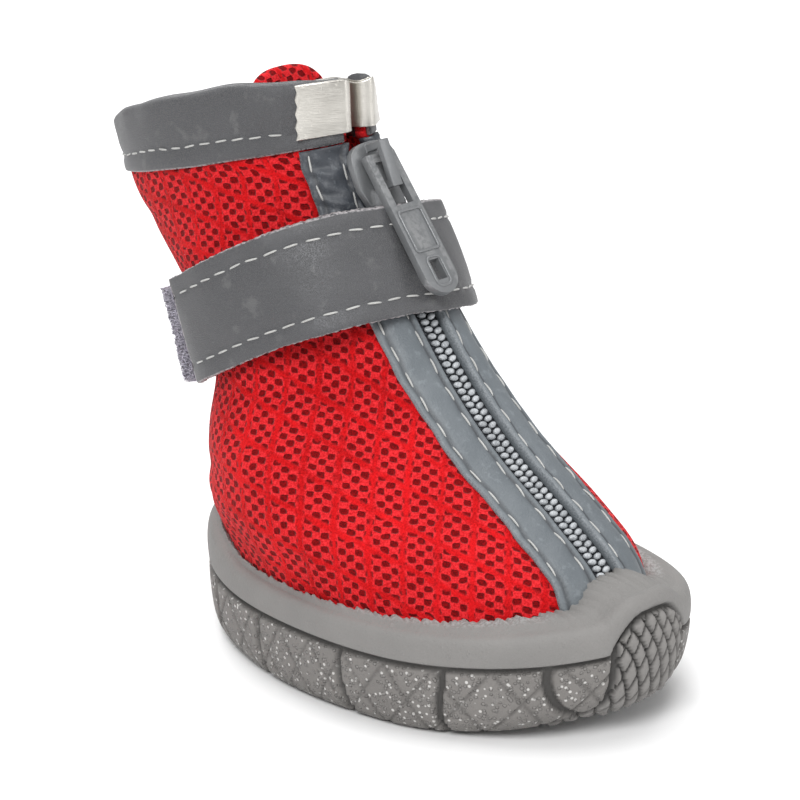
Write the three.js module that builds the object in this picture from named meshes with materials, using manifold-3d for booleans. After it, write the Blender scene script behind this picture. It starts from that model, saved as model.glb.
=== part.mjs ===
// Dog boot with a zip up the front and a closing strap, in millimetres.
// +Z is up, the toe points to -Y and the heel to +Y, and +X is the boot's left side.
// The origin is the middle of the sole's underside, on the plane that it stands on.
import * as THREE from "three";
import { mergeVertices } from "three/addons/utils/BufferGeometryUtils.js";
import Module from "manifold-3d";

const wasm = await Module();
wasm.setup();

// ---------- driving dimensions ----------

const CLEARANCE = 0.3; // between pieces that touch on the real boot
const SLIVER = 0.02; // edges left by a cut that are shorter than this are closed up

const SOLE = {
  halfLength: 43.8,
  halfWidth: 28.8,
  springStart: 12, // how far in front of the middle the toe spring begins
  frontFullness: 1.0, // below 1 is squarer than an ellipse
  backFullness: 0.96,
  egg: 0.02, // wider towards the toe
  heelFrom: 20, // how far behind the middle the band starts to rise round the heel
  lipFlatHalf: 3, // the lip over the toe bumper is level this far to each side
  lipHalf: 9.5, // and has died away here
  segments: 60,
};

// The sole's outer form, level by level. z and inset hold along the sides and heel;
// toeZ and toeInset hold at the tip of the toe. lip is the extra rise over the bumper, and
// heel the rise at the back.
const SOLE_LEVELS = [
  { z: 0.0, toeZ: 0.0, inset: 9.0, toeInset: 27.0, lip: 0.0, heel: 0 }, // flat underside
  { z: 0.0, toeZ: 3.0, inset: 4.2, toeInset: 8.5, lip: 0.0, heel: 0 }, // underside's edge
  { z: 0.9, toeZ: 4.4, inset: 2.2, toeInset: 4.6, lip: 0.0, heel: 0 }, // rounded shoulder
  { z: 3.5, toeZ: 7.5, inset: 0.9, toeInset: 1.4, lip: 0.0, heel: 0 },
  { z: 9.0, toeZ: 12.6, inset: 0.1, toeInset: 0.0, lip: 0.6, heel: 0 }, // widest
  { z: 13.0, toeZ: 15.9, inset: 0.1, toeInset: 0.0, lip: 1.7, heel: 0.6 }, // foxing's foot
  { z: 15.4, toeZ: 18.9, inset: 0.5, toeInset: 0.7, lip: 2.3, heel: 2.4 },
  { z: 16.5, toeZ: 20.0, inset: 1.5, toeInset: 2.6, lip: 2.6, heel: 3.4 }, // foxing's top
];
const UNDERSIDE_LEVELS = 3; // the first levels belong to the underside

const TREAD = {
  depth: 1.1,
  width: 1.3,
  crossGroovesY: [-37.2, -22.6, -5.7, 13.6, 29.0], // each runs on up the side walls
  wallTop: 11.4,
};
// Half widths of the long groove round the middle of the tread, from toe to heel.
const TREAD_FIELD = [
  { y: -36.9, half: 9.9 },
  { y: -27.7, half: 9.9 },
  { y: -22.8, half: 14.2 },
  { y: -14.0, half: 16.6 },
  { y: -4.0, half: 15.2 },
  { y: 7.5, half: 9.9 },
  { y: 16.0, half: 6.6 },
  { y: 24.4, half: 5.8 },
  { y: 38.0, half: 6.4 },
];

// The upper's sections, from the bottom edge inside the sole to the collar's rim.
// Each is a ring in a plane through its front and back points; fullness bends its ends,
// pinch slims it beside the zip, where the mesh falls away from the ridge, and tilt lowers
// the left side of the soft collar and lifts the right.
const UPPER_ROWS = [
  // frontY, frontZ, backY, backZ, half, fullness, pinch, tilt
  [-36.6, 4.8, 38.2, 4.8, 23.6, 0.92, 0, 0],
  [-36.6, 12, 39.6, 10.5, 25.4, 0.94, 0, 0],
  [-34.4, 21.8, 40.2, 17.5, 26.4, 0.99, 0.1, 0],
  [-25.4, 29.3, 41.4, 25.5, 28.2, 1.02, 0.25, 0],
  [-14, 36.9, 41, 34.3, 27, 1.03, 0.3, 0],
  [-4.4, 45.5, 41.2, 42, 22.6, 1.03, 0.28, 0],
  [4, 55.6, 45, 48.8, 19.2, 1.05, 0.2, 0],
  [10.1, 64.3, 53, 55.2, 17.4, 1.08, 0.12, 0],
  [15.1, 72.3, 61, 61.4, 15.6, 1.1, 0.06, 0],
  [18.6, 80.6, 66.8, 67.2, 14, 1.1, 0.02, 0],
  [19.3, 89.4, 70, 74, 12.6, 1.1, 0, 0.016],
].map(([frontY, frontZ, backY, backZ, half, fullness, pinch, tilt]) => {
  return { frontY, frontZ, backY, backZ, half, fullness, pinch, tilt };
});
const PINCH = { centre: 0.91, spread: 0.52 }; // angle beside the front, and reach, in radians
const UPPER = { wall: 1.6, segments: 44 };
const UPPER_STATIONS = [0, 1, 2, 3, 3.5, 4, 4.5, 5, 5.5, 6, 7, 8, 9, 10]; // rows meshed

const INSOLE = { thickness: 1.8, topRow: 0.25 };

const ZIP = {
  fromRow: 1.75, // tucked behind the sole's lip
  slitHalf: 3.0, // half width of the opening in the upper
  collarSlitHalf: 2.0, // and where the collar band begins
  chainHalf: 2.7,
  chainLow: -1.3, // depths from the upper's outer face
  chainHigh: 0.5,
  facingOuter: 9.7,
  facingLow: 0.38, // clear of the upper on its tight curve behind the toe
  facingThickness: 0.8,
  stations: 16,
};

const BAND = { fromRow: 9.02, overRim: 0.13, thickness: 0.8, frontHalf: 2.7, steps: 34 };
const CLIP = { near: 1.0, far: 9.3, plate: 0.6, fromRow: 9.2, toRow: 10.16 };

const TONGUE = {
  fromRow: 2.3,
  sideTopRow: 9.85,
  domeTopRow: 10.33,
  lowAngle: 0.42, // half angle that it spans, at its foot and at its top
  topAngle: 1.1,
  footGap: 0.6, // between its edges and the upper's inner face
  topGap: 1.7,
  thickness: 1.5,
  footBow: 0.6, // how far its middle bows backwards
  topBow: 0.8,
};

// The strap's outer face between its lower and upper edges, as ovals in sloping planes.
const STRAP = {
  low: { frontY: 1.2, frontZ: 55.8, backY: 46.2, backZ: 36.8, half: 23.2 },
  high: { frontY: 9.7, frontZ: 71.0, backY: 52.0, backZ: 52.3, half: 22.4 },
  thickness: 1.4,
  archRise: 2.6, // a straight strap rises where it crosses the tapering side
  archCentre: -0.87,
  archReach: 1.48,
  freeEnd: -2.0, // angle of its cut end, on the right side towards the heel
  sewnEnd: 2.45, // and of its sewn end, on the left
  steps: 40,
};
const TAPE = { overlapTo: -1.45, thickness: 1.0, steps: 26, tuck: 1.7 };

const SLIDER = {
  row: 8.28, // where its middle sits on the zip
  length: 11.2,
  width: 9.4,
  waist: 6.2, // its narrow lower end
  topPlate: { low: 1.4, high: 2.7 },
  bottomPlate: { low: -3.2, high: -2.1, width: 4.4 },
  neck: { width: 2.2, length: 3.2, centre: 3.6 },
  bridge: { half: 1.0, from: -2.4, to: 5.1, clear: 2.3, thickness: 1.1, post: 1.2 },
};
const PULL = {
  alongSlider: 2.5, // the hinge's place from the slider's middle
  aboveSlider: 3.8, // and from the upper's outer face
  lean: 0.668, // from straight down towards the toe, in radians
  barRadius: 0.7,
  length: 23.6,
  thickness: 1.3,
  topHalf: 3.1,
  endHalf: 3.3,
  legWidth: 1.3,
  legLength: 8.2,
};

const COLOURS = {
  rubber: 0x8c8985,
  foam: 0x6f7276,
  mesh: 0xe0161b,
  reflective: 0x74777a,
  facing: 0x7e868c,
  coil: 0x9a9ea3,
  paint: 0x7c7f82,
  nickel: 0xcfcac0,
  loop: 0xa9a3b6,
};

// ---------- helpers ----------

const lerp = THREE.MathUtils.lerp;
const clamp = THREE.MathUtils.clamp;
const TURN = 2 * Math.PI;

function range(from, to, steps) {
  return Array.from({ length: steps + 1 }, (_, i) => lerp(from, to, i / steps));
}

// The curve through four values in a row, at t between the middle two.
function through(a, b, c, d, t) {
  const slope = c - a;
  const bend = 2 * a - 5 * b + 4 * c - d;
  const twist = 3 * b - a - 3 * c + d;
  return 0.5 * (2 * b + slope * t + bend * t * t + twist * t * t * t);
}

function signedPower(value, power) {
  return Math.sign(value) * Math.abs(value) ** power;
}

function solidFrom(geometry) {
  const bare = geometry.clone();
  bare.deleteAttribute("normal");
  bare.deleteAttribute("uv");
  const merged = mergeVertices(bare, 1e-4);
  return new wasm.Manifold(
    new wasm.Mesh({
      numProp: 3,
      vertProperties: new Float32Array(merged.attributes.position.array),
      triVerts: new Uint32Array(merged.index.array),
    }),
  );
}

function geometryFrom(solid) {
  const mesh = solid.simplify(SLIVER).getMesh();
  const geometry = new THREE.BufferGeometry();
  geometry.setAttribute("position", new THREE.BufferAttribute(mesh.vertProperties, 3));
  geometry.setIndex(new THREE.BufferAttribute(mesh.triVerts, 1));
  return geometry;
}

function geometryOf(points, faces) {
  const geometry = new THREE.BufferGeometry();
  geometry.setFromPoints(points);
  geometry.setIndex(faces);
  return geometry;
}

// A wall between two faces. rows is a list of stations; columnsAt(row) gives the same number
// of columns on each; at(row, column, side) gives the point on the low (0) or high (1) face.
function wall(rows, columnsAt, at, closed = false) {
  const points = [];
  const faces = [];
  const count = columnsAt(rows[0]).length;
  rows.forEach((row) => {
    const columns = columnsAt(row);
    for (const side of [0, 1]) columns.forEach((column) => points.push(at(row, column, side)));
  });
  const id = (i, j, side) => (2 * i + side) * count + (j % count);
  const quad = (a, b, c, d) => faces.push(a, b, c, a, c, d);
  const bays = closed ? count : count - 1;
  const last = rows.length - 1;
  for (let j = 0; j < bays; j++) {
    for (let i = 0; i < last; i++) {
      quad(id(i, j, 1), id(i, j + 1, 1), id(i + 1, j + 1, 1), id(i + 1, j, 1));
      quad(id(i, j, 0), id(i + 1, j, 0), id(i + 1, j + 1, 0), id(i, j + 1, 0));
    }
    quad(id(0, j, 0), id(0, j + 1, 0), id(0, j + 1, 1), id(0, j, 1));
    quad(id(last, j, 0), id(last, j, 1), id(last, j + 1, 1), id(last, j + 1, 0));
  }
  if (!closed) {
    for (let i = 0; i < last; i++) {
      quad(id(i, 0, 0), id(i, 0, 1), id(i + 1, 0, 1), id(i + 1, 0, 0));
      quad(id(i, bays, 0), id(i + 1, bays, 0), id(i + 1, bays, 1), id(i, bays, 1));
    }
  }
  return geometryOf(points, faces);
}

// A filled form through rings of equally many points, anticlockwise from above.
function loft(rings) {
  const count = rings[0].length;
  const points = rings.flat();
  const faces = [];
  for (let i = 0; i + 1 < rings.length; i++) {
    for (let j = 0; j < count; j++) {
      const k = (j + 1) % count;
      const [a, b] = [i * count + j, i * count + k];
      faces.push(a, b, b + count, a, b + count, a + count);
    }
  }
  const middle = (ring) =>
    ring.reduce((sum, p) => sum.add(p), new THREE.Vector3()).divideScalar(count);
  const foot = points.push(middle(rings[0])) - 1;
  const head = points.push(middle(rings[rings.length - 1])) - 1;
  const top = (rings.length - 1) * count;
  for (let j = 0; j < count; j++) {
    const k = (j + 1) % count;
    faces.push(foot, k, j, head, top + j, top + k);
  }
  return geometryOf(points, faces);
}

function mesh(name, geometry, color, roughness, metalness = 0) {
  const part = new THREE.Mesh(
    geometry,
    new THREE.MeshStandardMaterial({ color, roughness, metalness }),
  );
  part.name = name;
  return part;
}

// ---------- the upper's surface ----------

function upperRow(row) {
  const last = UPPER_ROWS.length - 1;
  const i = clamp(Math.floor(row), 0, last - 1);
  // Past either end the rows carry on in a straight line.
  const valueOf = (k, key) => {
    if (k < 0) return 2 * UPPER_ROWS[0][key] - UPPER_ROWS[1][key];
    if (k > last) return 2 * UPPER_ROWS[last][key] - UPPER_ROWS[last - 1][key];
    return UPPER_ROWS[k][key];
  };
  const value = {};
  for (const key of Object.keys(UPPER_ROWS[0])) {
    const around = [i - 1, i, i + 1, i + 2].map((k) => valueOf(k, key));
    value[key] = through(...around, row - i);
  }
  return value;
}

// angle is 0 at the front and grows towards the left side, +X.
function upperPoint(row, angle) {
  const r = upperRow(row);
  const back = (1 - Math.cos(angle)) / 2;
  const fromFront = Math.abs(Math.atan2(Math.sin(angle), Math.cos(angle)));
  const away = (fromFront - PINCH.centre) / PINCH.spread;
  const slim = 1 - r.pinch * Math.exp(-away * away);
  const x = r.half * slim * signedPower(Math.sin(angle), r.fullness);
  const z = lerp(r.frontZ, r.backZ, back) - r.tilt * x * Math.abs(x);
  return new THREE.Vector3(x, lerp(r.frontY, r.backY, back), z);
}

function upperOut(row, angle) {
  const step = 0.02;
  const along = upperPoint(row, angle + step).sub(upperPoint(row, angle - step));
  const up = upperPoint(row + step, angle).sub(upperPoint(row - step, angle));
  return along.cross(up).normalize();
}

function upperAt(row, angle, offset) {
  return upperPoint(row, angle).addScaledVector(upperOut(row, angle), offset);
}

// The angle that lies a distance along the ring from the front.
function angleAt(row, distance) {
  const step = 0.01;
  let angle = 0;
  let length = 0;
  let last = upperPoint(row, 0);
  while (length < Math.abs(distance)) {
    angle += step;
    const next = upperPoint(row, angle);
    length += next.distanceTo(last);
    last = next;
  }
  return Math.sign(distance) * angle;
}

function fullTurn(segments) {
  return range(0, TURN, segments).slice(0, -1);
}

function upperRing(row, offset, segments, drop = 0) {
  return fullTurn(segments).map((angle) => {
    const point = upperAt(row, angle, offset);
    point.z -= drop;
    return point;
  });
}

// A strip of wall over the front, between two distances from the middle line.
function frontStrip(rows, from, to, low, high, steps) {
  return wall(
    rows,
    (row) => range(angleAt(row, from), angleAt(row, to), steps),
    (row, angle, side) => upperAt(row, angle, side ? high : low),
  );
}

// ---------- sole and insole ----------

function solePoint(level, angle, deeper) {
  const forward = Math.cos(angle);
  const fullness = forward > 0 ? SOLE.frontFullness : SOLE.backFullness;
  const ahead = SOLE.halfLength * forward - SOLE.springStart;
  const toe = Math.max(0, ahead / (SOLE.halfLength - SOLE.springStart)) ** 2;
  const inset = lerp(level.inset, level.toeInset, toe) + deeper;
  const x =
    (SOLE.halfWidth - inset) * signedPower(Math.sin(angle), fullness) * (1 + SOLE.egg * forward);
  const y = -(SOLE.halfLength - inset) * forward;
  const fade = clamp((Math.abs(x) - SOLE.lipFlatHalf) / (SOLE.lipHalf - SOLE.lipFlatHalf), 0, 1);
  const lip = forward > 0 ? level.lip * (0.5 + 0.5 * Math.cos(Math.PI * fade)) : 0;
  const behind = clamp((y - SOLE.heelFrom) / (SOLE.halfLength - SOLE.heelFrom), 0, 1);
  return new THREE.Vector3(x, y, lerp(level.z, level.toeZ, toe) + lip + level.heel * behind);
}

function soleForm(deeper = 0) {
  const rings = SOLE_LEVELS.map((level, i) =>
    fullTurn(SOLE.segments).map((angle) => {
      const point = solePoint(level, angle, deeper);
      if (i < UNDERSIDE_LEVELS) point.z += deeper;
      return point;
    }),
  );
  return solidFrom(loft(rings));
}

function treadGrooves() {
  const below = 2;
  const skin = soleForm(-below / 2).subtract(soleForm(TREAD.depth));
  const slab = new THREE.BoxGeometry(2 * SOLE.halfWidth + 4, TREAD.width, TREAD.wallTop + below);
  const slabs = TREAD.crossGroovesY.map((y) =>
    solidFrom(slab.clone().translate(0, y, TREAD.wallTop / 2 - below / 2)),
  );
  const outline = (grow) => {
    const ends = { [TREAD_FIELD[0].y]: -grow, [TREAD_FIELD[TREAD_FIELD.length - 1].y]: grow };
    const right = TREAD_FIELD.map((p) => new THREE.Vector2(p.half + grow, p.y + (ends[p.y] ?? 0)));
    const left = right.map((p) => new THREE.Vector2(-p.x, p.y)).reverse();
    const curve = new THREE.SplineCurve(right).getPoints(14);
    const back = new THREE.SplineCurve(left).getPoints(14);
    return [...curve, ...back];
  };
  const field = new THREE.Shape(outline(TREAD.width / 2));
  field.holes.push(new THREE.Path(outline(-TREAD.width / 2)));
  const belt = new THREE.ExtrudeGeometry(field, { depth: TREAD.wallTop / 2, bevelEnabled: false });
  const cuts = slabs.reduce((all, one) => all.add(one), solidFrom(belt.translate(0, 0, -below)));
  return skin.intersect(cuts);
}

function outsole() {
  const rows = [0, 1, 2, 3, 4];
  const rings = rows.map((row) => upperRing(row, CLEARANCE, UPPER.segments));
  const floor = upperRing(0, CLEARANCE, UPPER.segments, CLEARANCE);
  const lastForm = solidFrom(loft([floor, ...rings]));
  const proud = ZIP.facingThickness + 2 * CLEARANCE;
  const pocket = solidFrom(
    frontStrip(
      range(ZIP.fromRow - 0.05, 4, 5),
      -ZIP.facingOuter - CLEARANCE,
      ZIP.facingOuter + CLEARANCE,
      -UPPER.wall,
      proud,
      10,
    ),
  );
  return geometryFrom(
    soleForm().subtract(lastForm).subtract(pocket).subtract(treadGrooves()),
  );
}

function insole() {
  const inside = -(UPPER.wall + CLEARANCE + 0.2);
  return loft([
    upperRing(0, inside, UPPER.segments),
    upperRing(INSOLE.topRow, inside, UPPER.segments),
  ]);
}

// ---------- upper, tongue and collar ----------

function upper() {
  const body = solidFrom(
    wall(
      UPPER_STATIONS,
      () => fullTurn(UPPER.segments),
      (row, angle, side) => upperAt(row, angle, side ? 0 : -UPPER.wall),
      true,
    ),
  );
  const reach = UPPER.wall + 0.9;
  const cutter = (rows, half) =>
    solidFrom(frontStrip(rows, -half, half, -reach, UPPER.wall, 4));
  const slit = cutter(range(ZIP.fromRow - 0.05, BAND.fromRow, ZIP.stations), ZIP.slitHalf);
  const collarSlit = cutter([BAND.fromRow - 0.05, 9.5, 10.1], ZIP.collarSlitHalf);
  return geometryFrom(body.subtract(slit).subtract(collarSlit));
}

// Each section runs straight between two points on the upper's inner face and bows backwards.
function tonguePoint(height, across, side) {
  const topRow = lerp(TONGUE.sideTopRow, TONGUE.domeTopRow, (1 - Math.abs(across) ** 2.6) ** 0.5);
  const row = lerp(TONGUE.fromRow, topRow, height);
  const angle = lerp(TONGUE.lowAngle, TONGUE.topAngle, height);
  const gap = lerp(TONGUE.footGap, TONGUE.topGap, height);
  const edge = upperAt(row, -angle, -UPPER.wall - gap);
  const { frontY, frontZ, backY, backZ } = upperRow(row);
  const backwards = new THREE.Vector3(0, backY - frontY, backZ - frontZ).normalize();
  const bow = lerp(TONGUE.footBow, TONGUE.topBow, height) * (1 - across ** 2);
  edge.x *= -across;
  return edge.addScaledVector(backwards, bow + (side ? 0 : TONGUE.thickness));
}

function tongue() {
  return wall(
    range(0, 1, 14),
    () => range(-1, 1, 14),
    (height, across, side) => tonguePoint(height, across, side),
  );
}

function collarBand() {
  const piece = (fromRow, toRow, low, high, gap) =>
    solidFrom(
      wall(
        range(fromRow, toRow, 2),
        (row) => {
          const start = angleAt(row, gap);
          return range(start, TURN - start, BAND.steps);
        },
        (row, angle, side) => upperAt(row, angle, side ? high : low),
      ),
    );
  const skin = BAND.thickness + CLEARANCE;
  const top = 10 + BAND.overRim;
  const outside = piece(BAND.fromRow, top, -UPPER.wall - skin, skin, BAND.frontHalf);
  const gapRows = CLEARANCE / 8.5; // rows to a millimetre at the rim
  const inside = piece(
    BAND.fromRow - 0.1,
    10 + gapRows,
    -UPPER.wall - CLEARANCE,
    CLEARANCE,
    BAND.frontHalf - 1,
  );
  return geometryFrom(outside.subtract(inside));
}

// A crimp clip: a plate folded round the band's front end. hand is -1 right, 1 left.
function clip(hand) {
  const rows = range(CLIP.fromRow, CLIP.toRow, 2);
  const inner = BAND.thickness + 2 * CLEARANCE;
  const outer = inner + CLIP.plate;
  const strip = (near, far, low, high, stations) => {
    const ends = hand > 0 ? [near, far] : [-far, -near];
    return solidFrom(frontStrip(stations, ...ends, low, high, 6));
  };
  const block = strip(CLIP.near, CLIP.far, -UPPER.wall - outer, outer, rows);
  const slot = strip(
    CLIP.near + CLIP.plate,
    CLIP.far + 1,
    -UPPER.wall - inner,
    inner,
    range(CLIP.fromRow - 0.1, CLIP.toRow + 0.1, 2),
  );
  return geometryFrom(block.subtract(slot));
}

// ---------- zip ----------

function zipFacing(hand) {
  const rows = range(ZIP.fromRow, BAND.fromRow - 0.05, ZIP.stations);
  const ends = hand > 0 ? [ZIP.slitHalf, ZIP.facingOuter] : [-ZIP.facingOuter, -ZIP.slitHalf];
  return frontStrip(rows, ...ends, ZIP.facingLow, ZIP.facingLow + ZIP.facingThickness, 4);
}

function zipChain() {
  const top = SLIDER.row + 0.16; // it stops under the slider, short of the neck
  const rows = range(ZIP.fromRow, top, ZIP.stations);
  return frontStrip(rows, -ZIP.chainHalf, ZIP.chainHalf, ZIP.chainLow, ZIP.chainHigh, 4);
}

// The slider's own frame: X across, Y up along the zip, Z out of the boot.
function sliderFrame() {
  const out = upperOut(SLIDER.row, 0);
  const across = new THREE.Vector3(1, 0, 0);
  const up = out.clone().cross(across).normalize();
  const frame = new THREE.Matrix4().makeBasis(across, up, out);
  return frame.setPosition(upperPoint(SLIDER.row, 0));
}

function plate(outline, low, high) {
  const shape = new THREE.Shape(outline);
  const geometry = new THREE.ExtrudeGeometry(shape, { depth: high - low, bevelEnabled: false });
  return geometry.translate(0, 0, low);
}

function block(width, fromY, toY, low, high) {
  const box = new THREE.BoxGeometry(width, toY - fromY, high - low);
  return box.translate(0, (fromY + toY) / 2, (low + high) / 2);
}

function zipSlider() {
  const s = SLIDER;
  const half = s.length / 2;
  const shield = new THREE.Shape()
    .moveTo(-s.waist / 2, -half)
    .lineTo(s.waist / 2, -half)
    .lineTo(s.width / 2, -half / 4)
    .lineTo(s.width / 2, half - 3)
    .quadraticCurveTo(s.width / 2, half, 0, half)
    .quadraticCurveTo(-s.width / 2, half, -s.width / 2, half - 3)
    .lineTo(-s.width / 2, -half / 4)
    .getPoints(6);
  const { low, high } = s.topPlate;
  const under = s.bottomPlate;
  const neckY = s.neck.centre;
  const b = s.bridge;
  const bridgeTop = high + b.clear + b.thickness;
  const pieces = [
    plate(shield, low, high),
    block(under.width, -half + 1.5, half - 1.2, under.low, under.high),
    block(s.neck.width, neckY - s.neck.length / 2, neckY + s.neck.length / 2, under.low, high),
    block(2 * b.half, b.from, b.to, bridgeTop - b.thickness, bridgeTop),
    block(2 * b.half, b.from, b.from + b.post, low, bridgeTop),
    block(2 * b.half, b.to - b.post, b.to, low, bridgeTop),
  ];
  const whole = pieces.map(solidFrom).reduce((all, one) => all.add(one));
  return geometryFrom(whole).applyMatrix4(sliderFrame());
}

// The puller's own frame: origin on the hinge, Y from its free end to the hinge, Z outwards.
function pullFrame() {
  const hinge = new THREE.Vector3(0, PULL.alongSlider, PULL.aboveSlider);
  hinge.applyMatrix4(sliderFrame());
  const turn = new THREE.Matrix4().makeRotationX(Math.PI / 2 - PULL.lean);
  return turn.setPosition(hinge);
}

function pullTab() {
  const p = PULL;
  const end = p.length - p.endHalf;
  const outline = new THREE.Shape()
    .moveTo(-p.topHalf, p.barRadius)
    .lineTo(-p.endHalf, -end)
    .absarc(0, -end, p.endHalf, Math.PI, TURN, false)
    .lineTo(p.topHalf, p.barRadius);
  const opening = new THREE.Path()
    .moveTo(-p.topHalf + p.legWidth, -p.barRadius)
    .lineTo(p.topHalf - p.legWidth, -p.barRadius)
    .lineTo(p.topHalf - p.legWidth, -p.legLength)
    .lineTo(-p.topHalf + p.legWidth, -p.legLength);
  const slot = new THREE.Path()
    .moveTo(-1.0, -end - 1.0)
    .lineTo(1.0, -end - 1.0)
    .lineTo(1.0, -end + 2.4)
    .lineTo(-1.0, -end + 2.4);
  outline.holes.push(opening, slot);
  const geometry = new THREE.ExtrudeGeometry(outline, {
    depth: p.thickness,
    bevelEnabled: false,
    curveSegments: 10,
  });
  return geometry.translate(0, 0, -p.thickness / 2).applyMatrix4(pullFrame());
}

// ---------- strap ----------

function strapPoint(height, angle, inwards) {
  const { low, high } = STRAP;
  const value = (key) => lerp(low[key], high[key], height);
  const back = (1 - Math.cos(angle)) / 2;
  const fromArch = Math.atan2(
    Math.sin(angle - STRAP.archCentre),
    Math.cos(angle - STRAP.archCentre),
  );
  const fade = clamp(Math.abs(fromArch) / STRAP.archReach, 0, 1);
  const arch = STRAP.archRise * Math.cos((fade * Math.PI) / 2) ** 2;
  const halfLength = (value("backY") - value("frontY")) / 2 - inwards;
  const middle = (value("backY") + value("frontY")) / 2;
  return new THREE.Vector3(
    (value("half") - inwards) * Math.sin(angle),
    middle - halfLength * Math.cos(angle),
    lerp(value("frontZ"), value("backZ"), back) + arch,
  );
}

function strap() {
  return wall(
    range(0, 1, 2),
    () => range(STRAP.freeEnd, STRAP.sewnEnd, STRAP.steps),
    (height, angle, side) => strapPoint(height, angle, side ? 0 : STRAP.thickness),
  );
}

// The tape carries on from the strap's sewn end round the heel and tucks under its free end.
function strapLoopTape() {
  const gap = 0.02;
  const start = STRAP.sewnEnd + gap;
  const end = TURN + TAPE.overlapTo;
  const tuckFrom = TURN + STRAP.freeEnd - 0.35;
  return wall(
    [0.04, 0.5, 0.96],
    () => range(start, end, TAPE.steps),
    (height, angle, side) => {
      const tucked = clamp((angle - tuckFrom) / 0.3, 0, 1) * TAPE.tuck;
      return strapPoint(height, angle, tucked + (side ? 0 : TAPE.thickness));
    },
  );
}

// ---------- the boot ----------

const boot = new THREE.Group();
boot.add(
  mesh("outsole", outsole(), COLOURS.rubber, 0.8),
  mesh("insole", insole(), COLOURS.foam, 0.9),
  mesh("upper", upper(), COLOURS.mesh, 0.85),
  mesh("tongue", tongue(), COLOURS.mesh, 0.85),
  mesh("collar_band", collarBand(), COLOURS.reflective, 0.5),
  mesh("clip_right", clip(-1), COLOURS.nickel, 0.25, 1),
  mesh("clip_left", clip(1), COLOURS.nickel, 0.25, 1),
  mesh("zip_facing_right", zipFacing(-1), COLOURS.facing, 0.55),
  mesh("zip_facing_left", zipFacing(1), COLOURS.facing, 0.55),
  mesh("zip_chain", zipChain(), COLOURS.coil, 0.5),
  mesh("zip_slider", zipSlider(), COLOURS.paint, 0.45, 0.6),
  mesh("pull_tab", pullTab(), COLOURS.paint, 0.45, 0.6),
  mesh("strap", strap(), COLOURS.reflective, 0.5),
  mesh("strap_loop_tape", strapLoopTape(), COLOURS.loop, 0.95),
);

export default boot;
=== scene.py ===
"""A dog boot: moulded rubber sole, red mesh upper with a front zip, gray closing strap.

The script follows the boot as it is made up. Sizes are in millimetres and become metres
when a mesh is made. +Z is up, the toe points to -Y and +X is the boot's left side.
"""

import math
import random

import bmesh
import bpy
import numpy as np
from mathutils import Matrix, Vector


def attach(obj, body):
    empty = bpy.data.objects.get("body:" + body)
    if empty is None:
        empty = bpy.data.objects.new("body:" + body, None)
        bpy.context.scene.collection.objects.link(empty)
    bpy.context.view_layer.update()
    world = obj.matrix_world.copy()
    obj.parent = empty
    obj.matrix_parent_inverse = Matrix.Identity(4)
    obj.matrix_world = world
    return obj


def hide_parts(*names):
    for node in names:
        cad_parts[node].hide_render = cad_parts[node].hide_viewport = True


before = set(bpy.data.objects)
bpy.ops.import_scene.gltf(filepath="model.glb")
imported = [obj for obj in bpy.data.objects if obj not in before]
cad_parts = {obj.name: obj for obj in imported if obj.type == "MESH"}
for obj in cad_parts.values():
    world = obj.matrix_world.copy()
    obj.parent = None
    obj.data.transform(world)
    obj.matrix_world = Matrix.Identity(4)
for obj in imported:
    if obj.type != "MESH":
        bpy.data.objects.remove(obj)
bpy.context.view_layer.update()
BOOT, PULL = "boot", "pull"

# ---------- camera, light and floor ----------
# The boot stands on a white studio sweep under large soft lamps.

VIEW_TURN, VIEW_RISE = math.radians(-45), math.radians(18.5)
VIEW_DISTANCE = 0.650
AIM_RIGHT, AIM_UP = -0.01345, 0.04655  # the point faced, across and up in the view's own plane
FRAME_RIGHT, FRAME_UP = 0.0068, -0.0062  # where the picture's middle lies from that point
LENS = 186

backward = Vector((
    math.sin(VIEW_TURN) * math.cos(VIEW_RISE),
    -math.cos(VIEW_TURN) * math.cos(VIEW_RISE),
    math.sin(VIEW_RISE),
))
rightward = Vector((math.cos(VIEW_TURN), math.sin(VIEW_TURN), 0))
upward = backward.cross(rightward)
aim = rightward * AIM_RIGHT + upward * AIM_UP
eye = aim + backward * VIEW_DISTANCE
target = aim + rightward * FRAME_RIGHT + upward * FRAME_UP

camera = bpy.data.objects.new("camera", bpy.data.cameras.new("camera"))
bpy.context.scene.collection.objects.link(camera)
camera.location = eye
camera.rotation_euler = (target - eye).to_track_quat("-Z", "Y").to_euler()
camera.data.lens = LENS
camera.data.clip_start = 0.01
bpy.context.scene.camera = camera


def softbox(name, place, size, power, colour=(1, 1, 1)):
    lamp = bpy.data.lights.new(name, "AREA")
    lamp.shape = "RECTANGLE"
    lamp.size, lamp.size_y = size
    lamp.energy = power
    lamp.color = colour
    holder = bpy.data.objects.new(name, lamp)
    bpy.context.scene.collection.objects.link(holder)
    holder.location = place
    facing = Vector((0, 0.01, 0.04)) - Vector(place)
    holder.rotation_euler = facing.to_track_quat("-Z", "Y").to_euler()


softbox("key_softbox", (-0.75, -0.45, 0.85), (0.5, 0.5), 10)
softbox("overhead_softbox", (0.15, 0.1, 1.1), (0.9, 0.9), 7)
softbox("front_softbox", (0.55, -0.95, 0.45), (0.5, 0.6), 3.2)
softbox("rim_softbox", (0.3, 0.9, 0.6), (0.6, 0.5), 5)

world = bpy.data.worlds.new("studio")
bpy.context.scene.world = world
world.use_nodes = True
world.node_tree.nodes["Background"].inputs["Color"].default_value = (1, 1, 1, 1)
world.node_tree.nodes["Background"].inputs["Strength"].default_value = 0.42
bpy.context.scene.view_settings.view_transform = "Standard"


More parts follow.
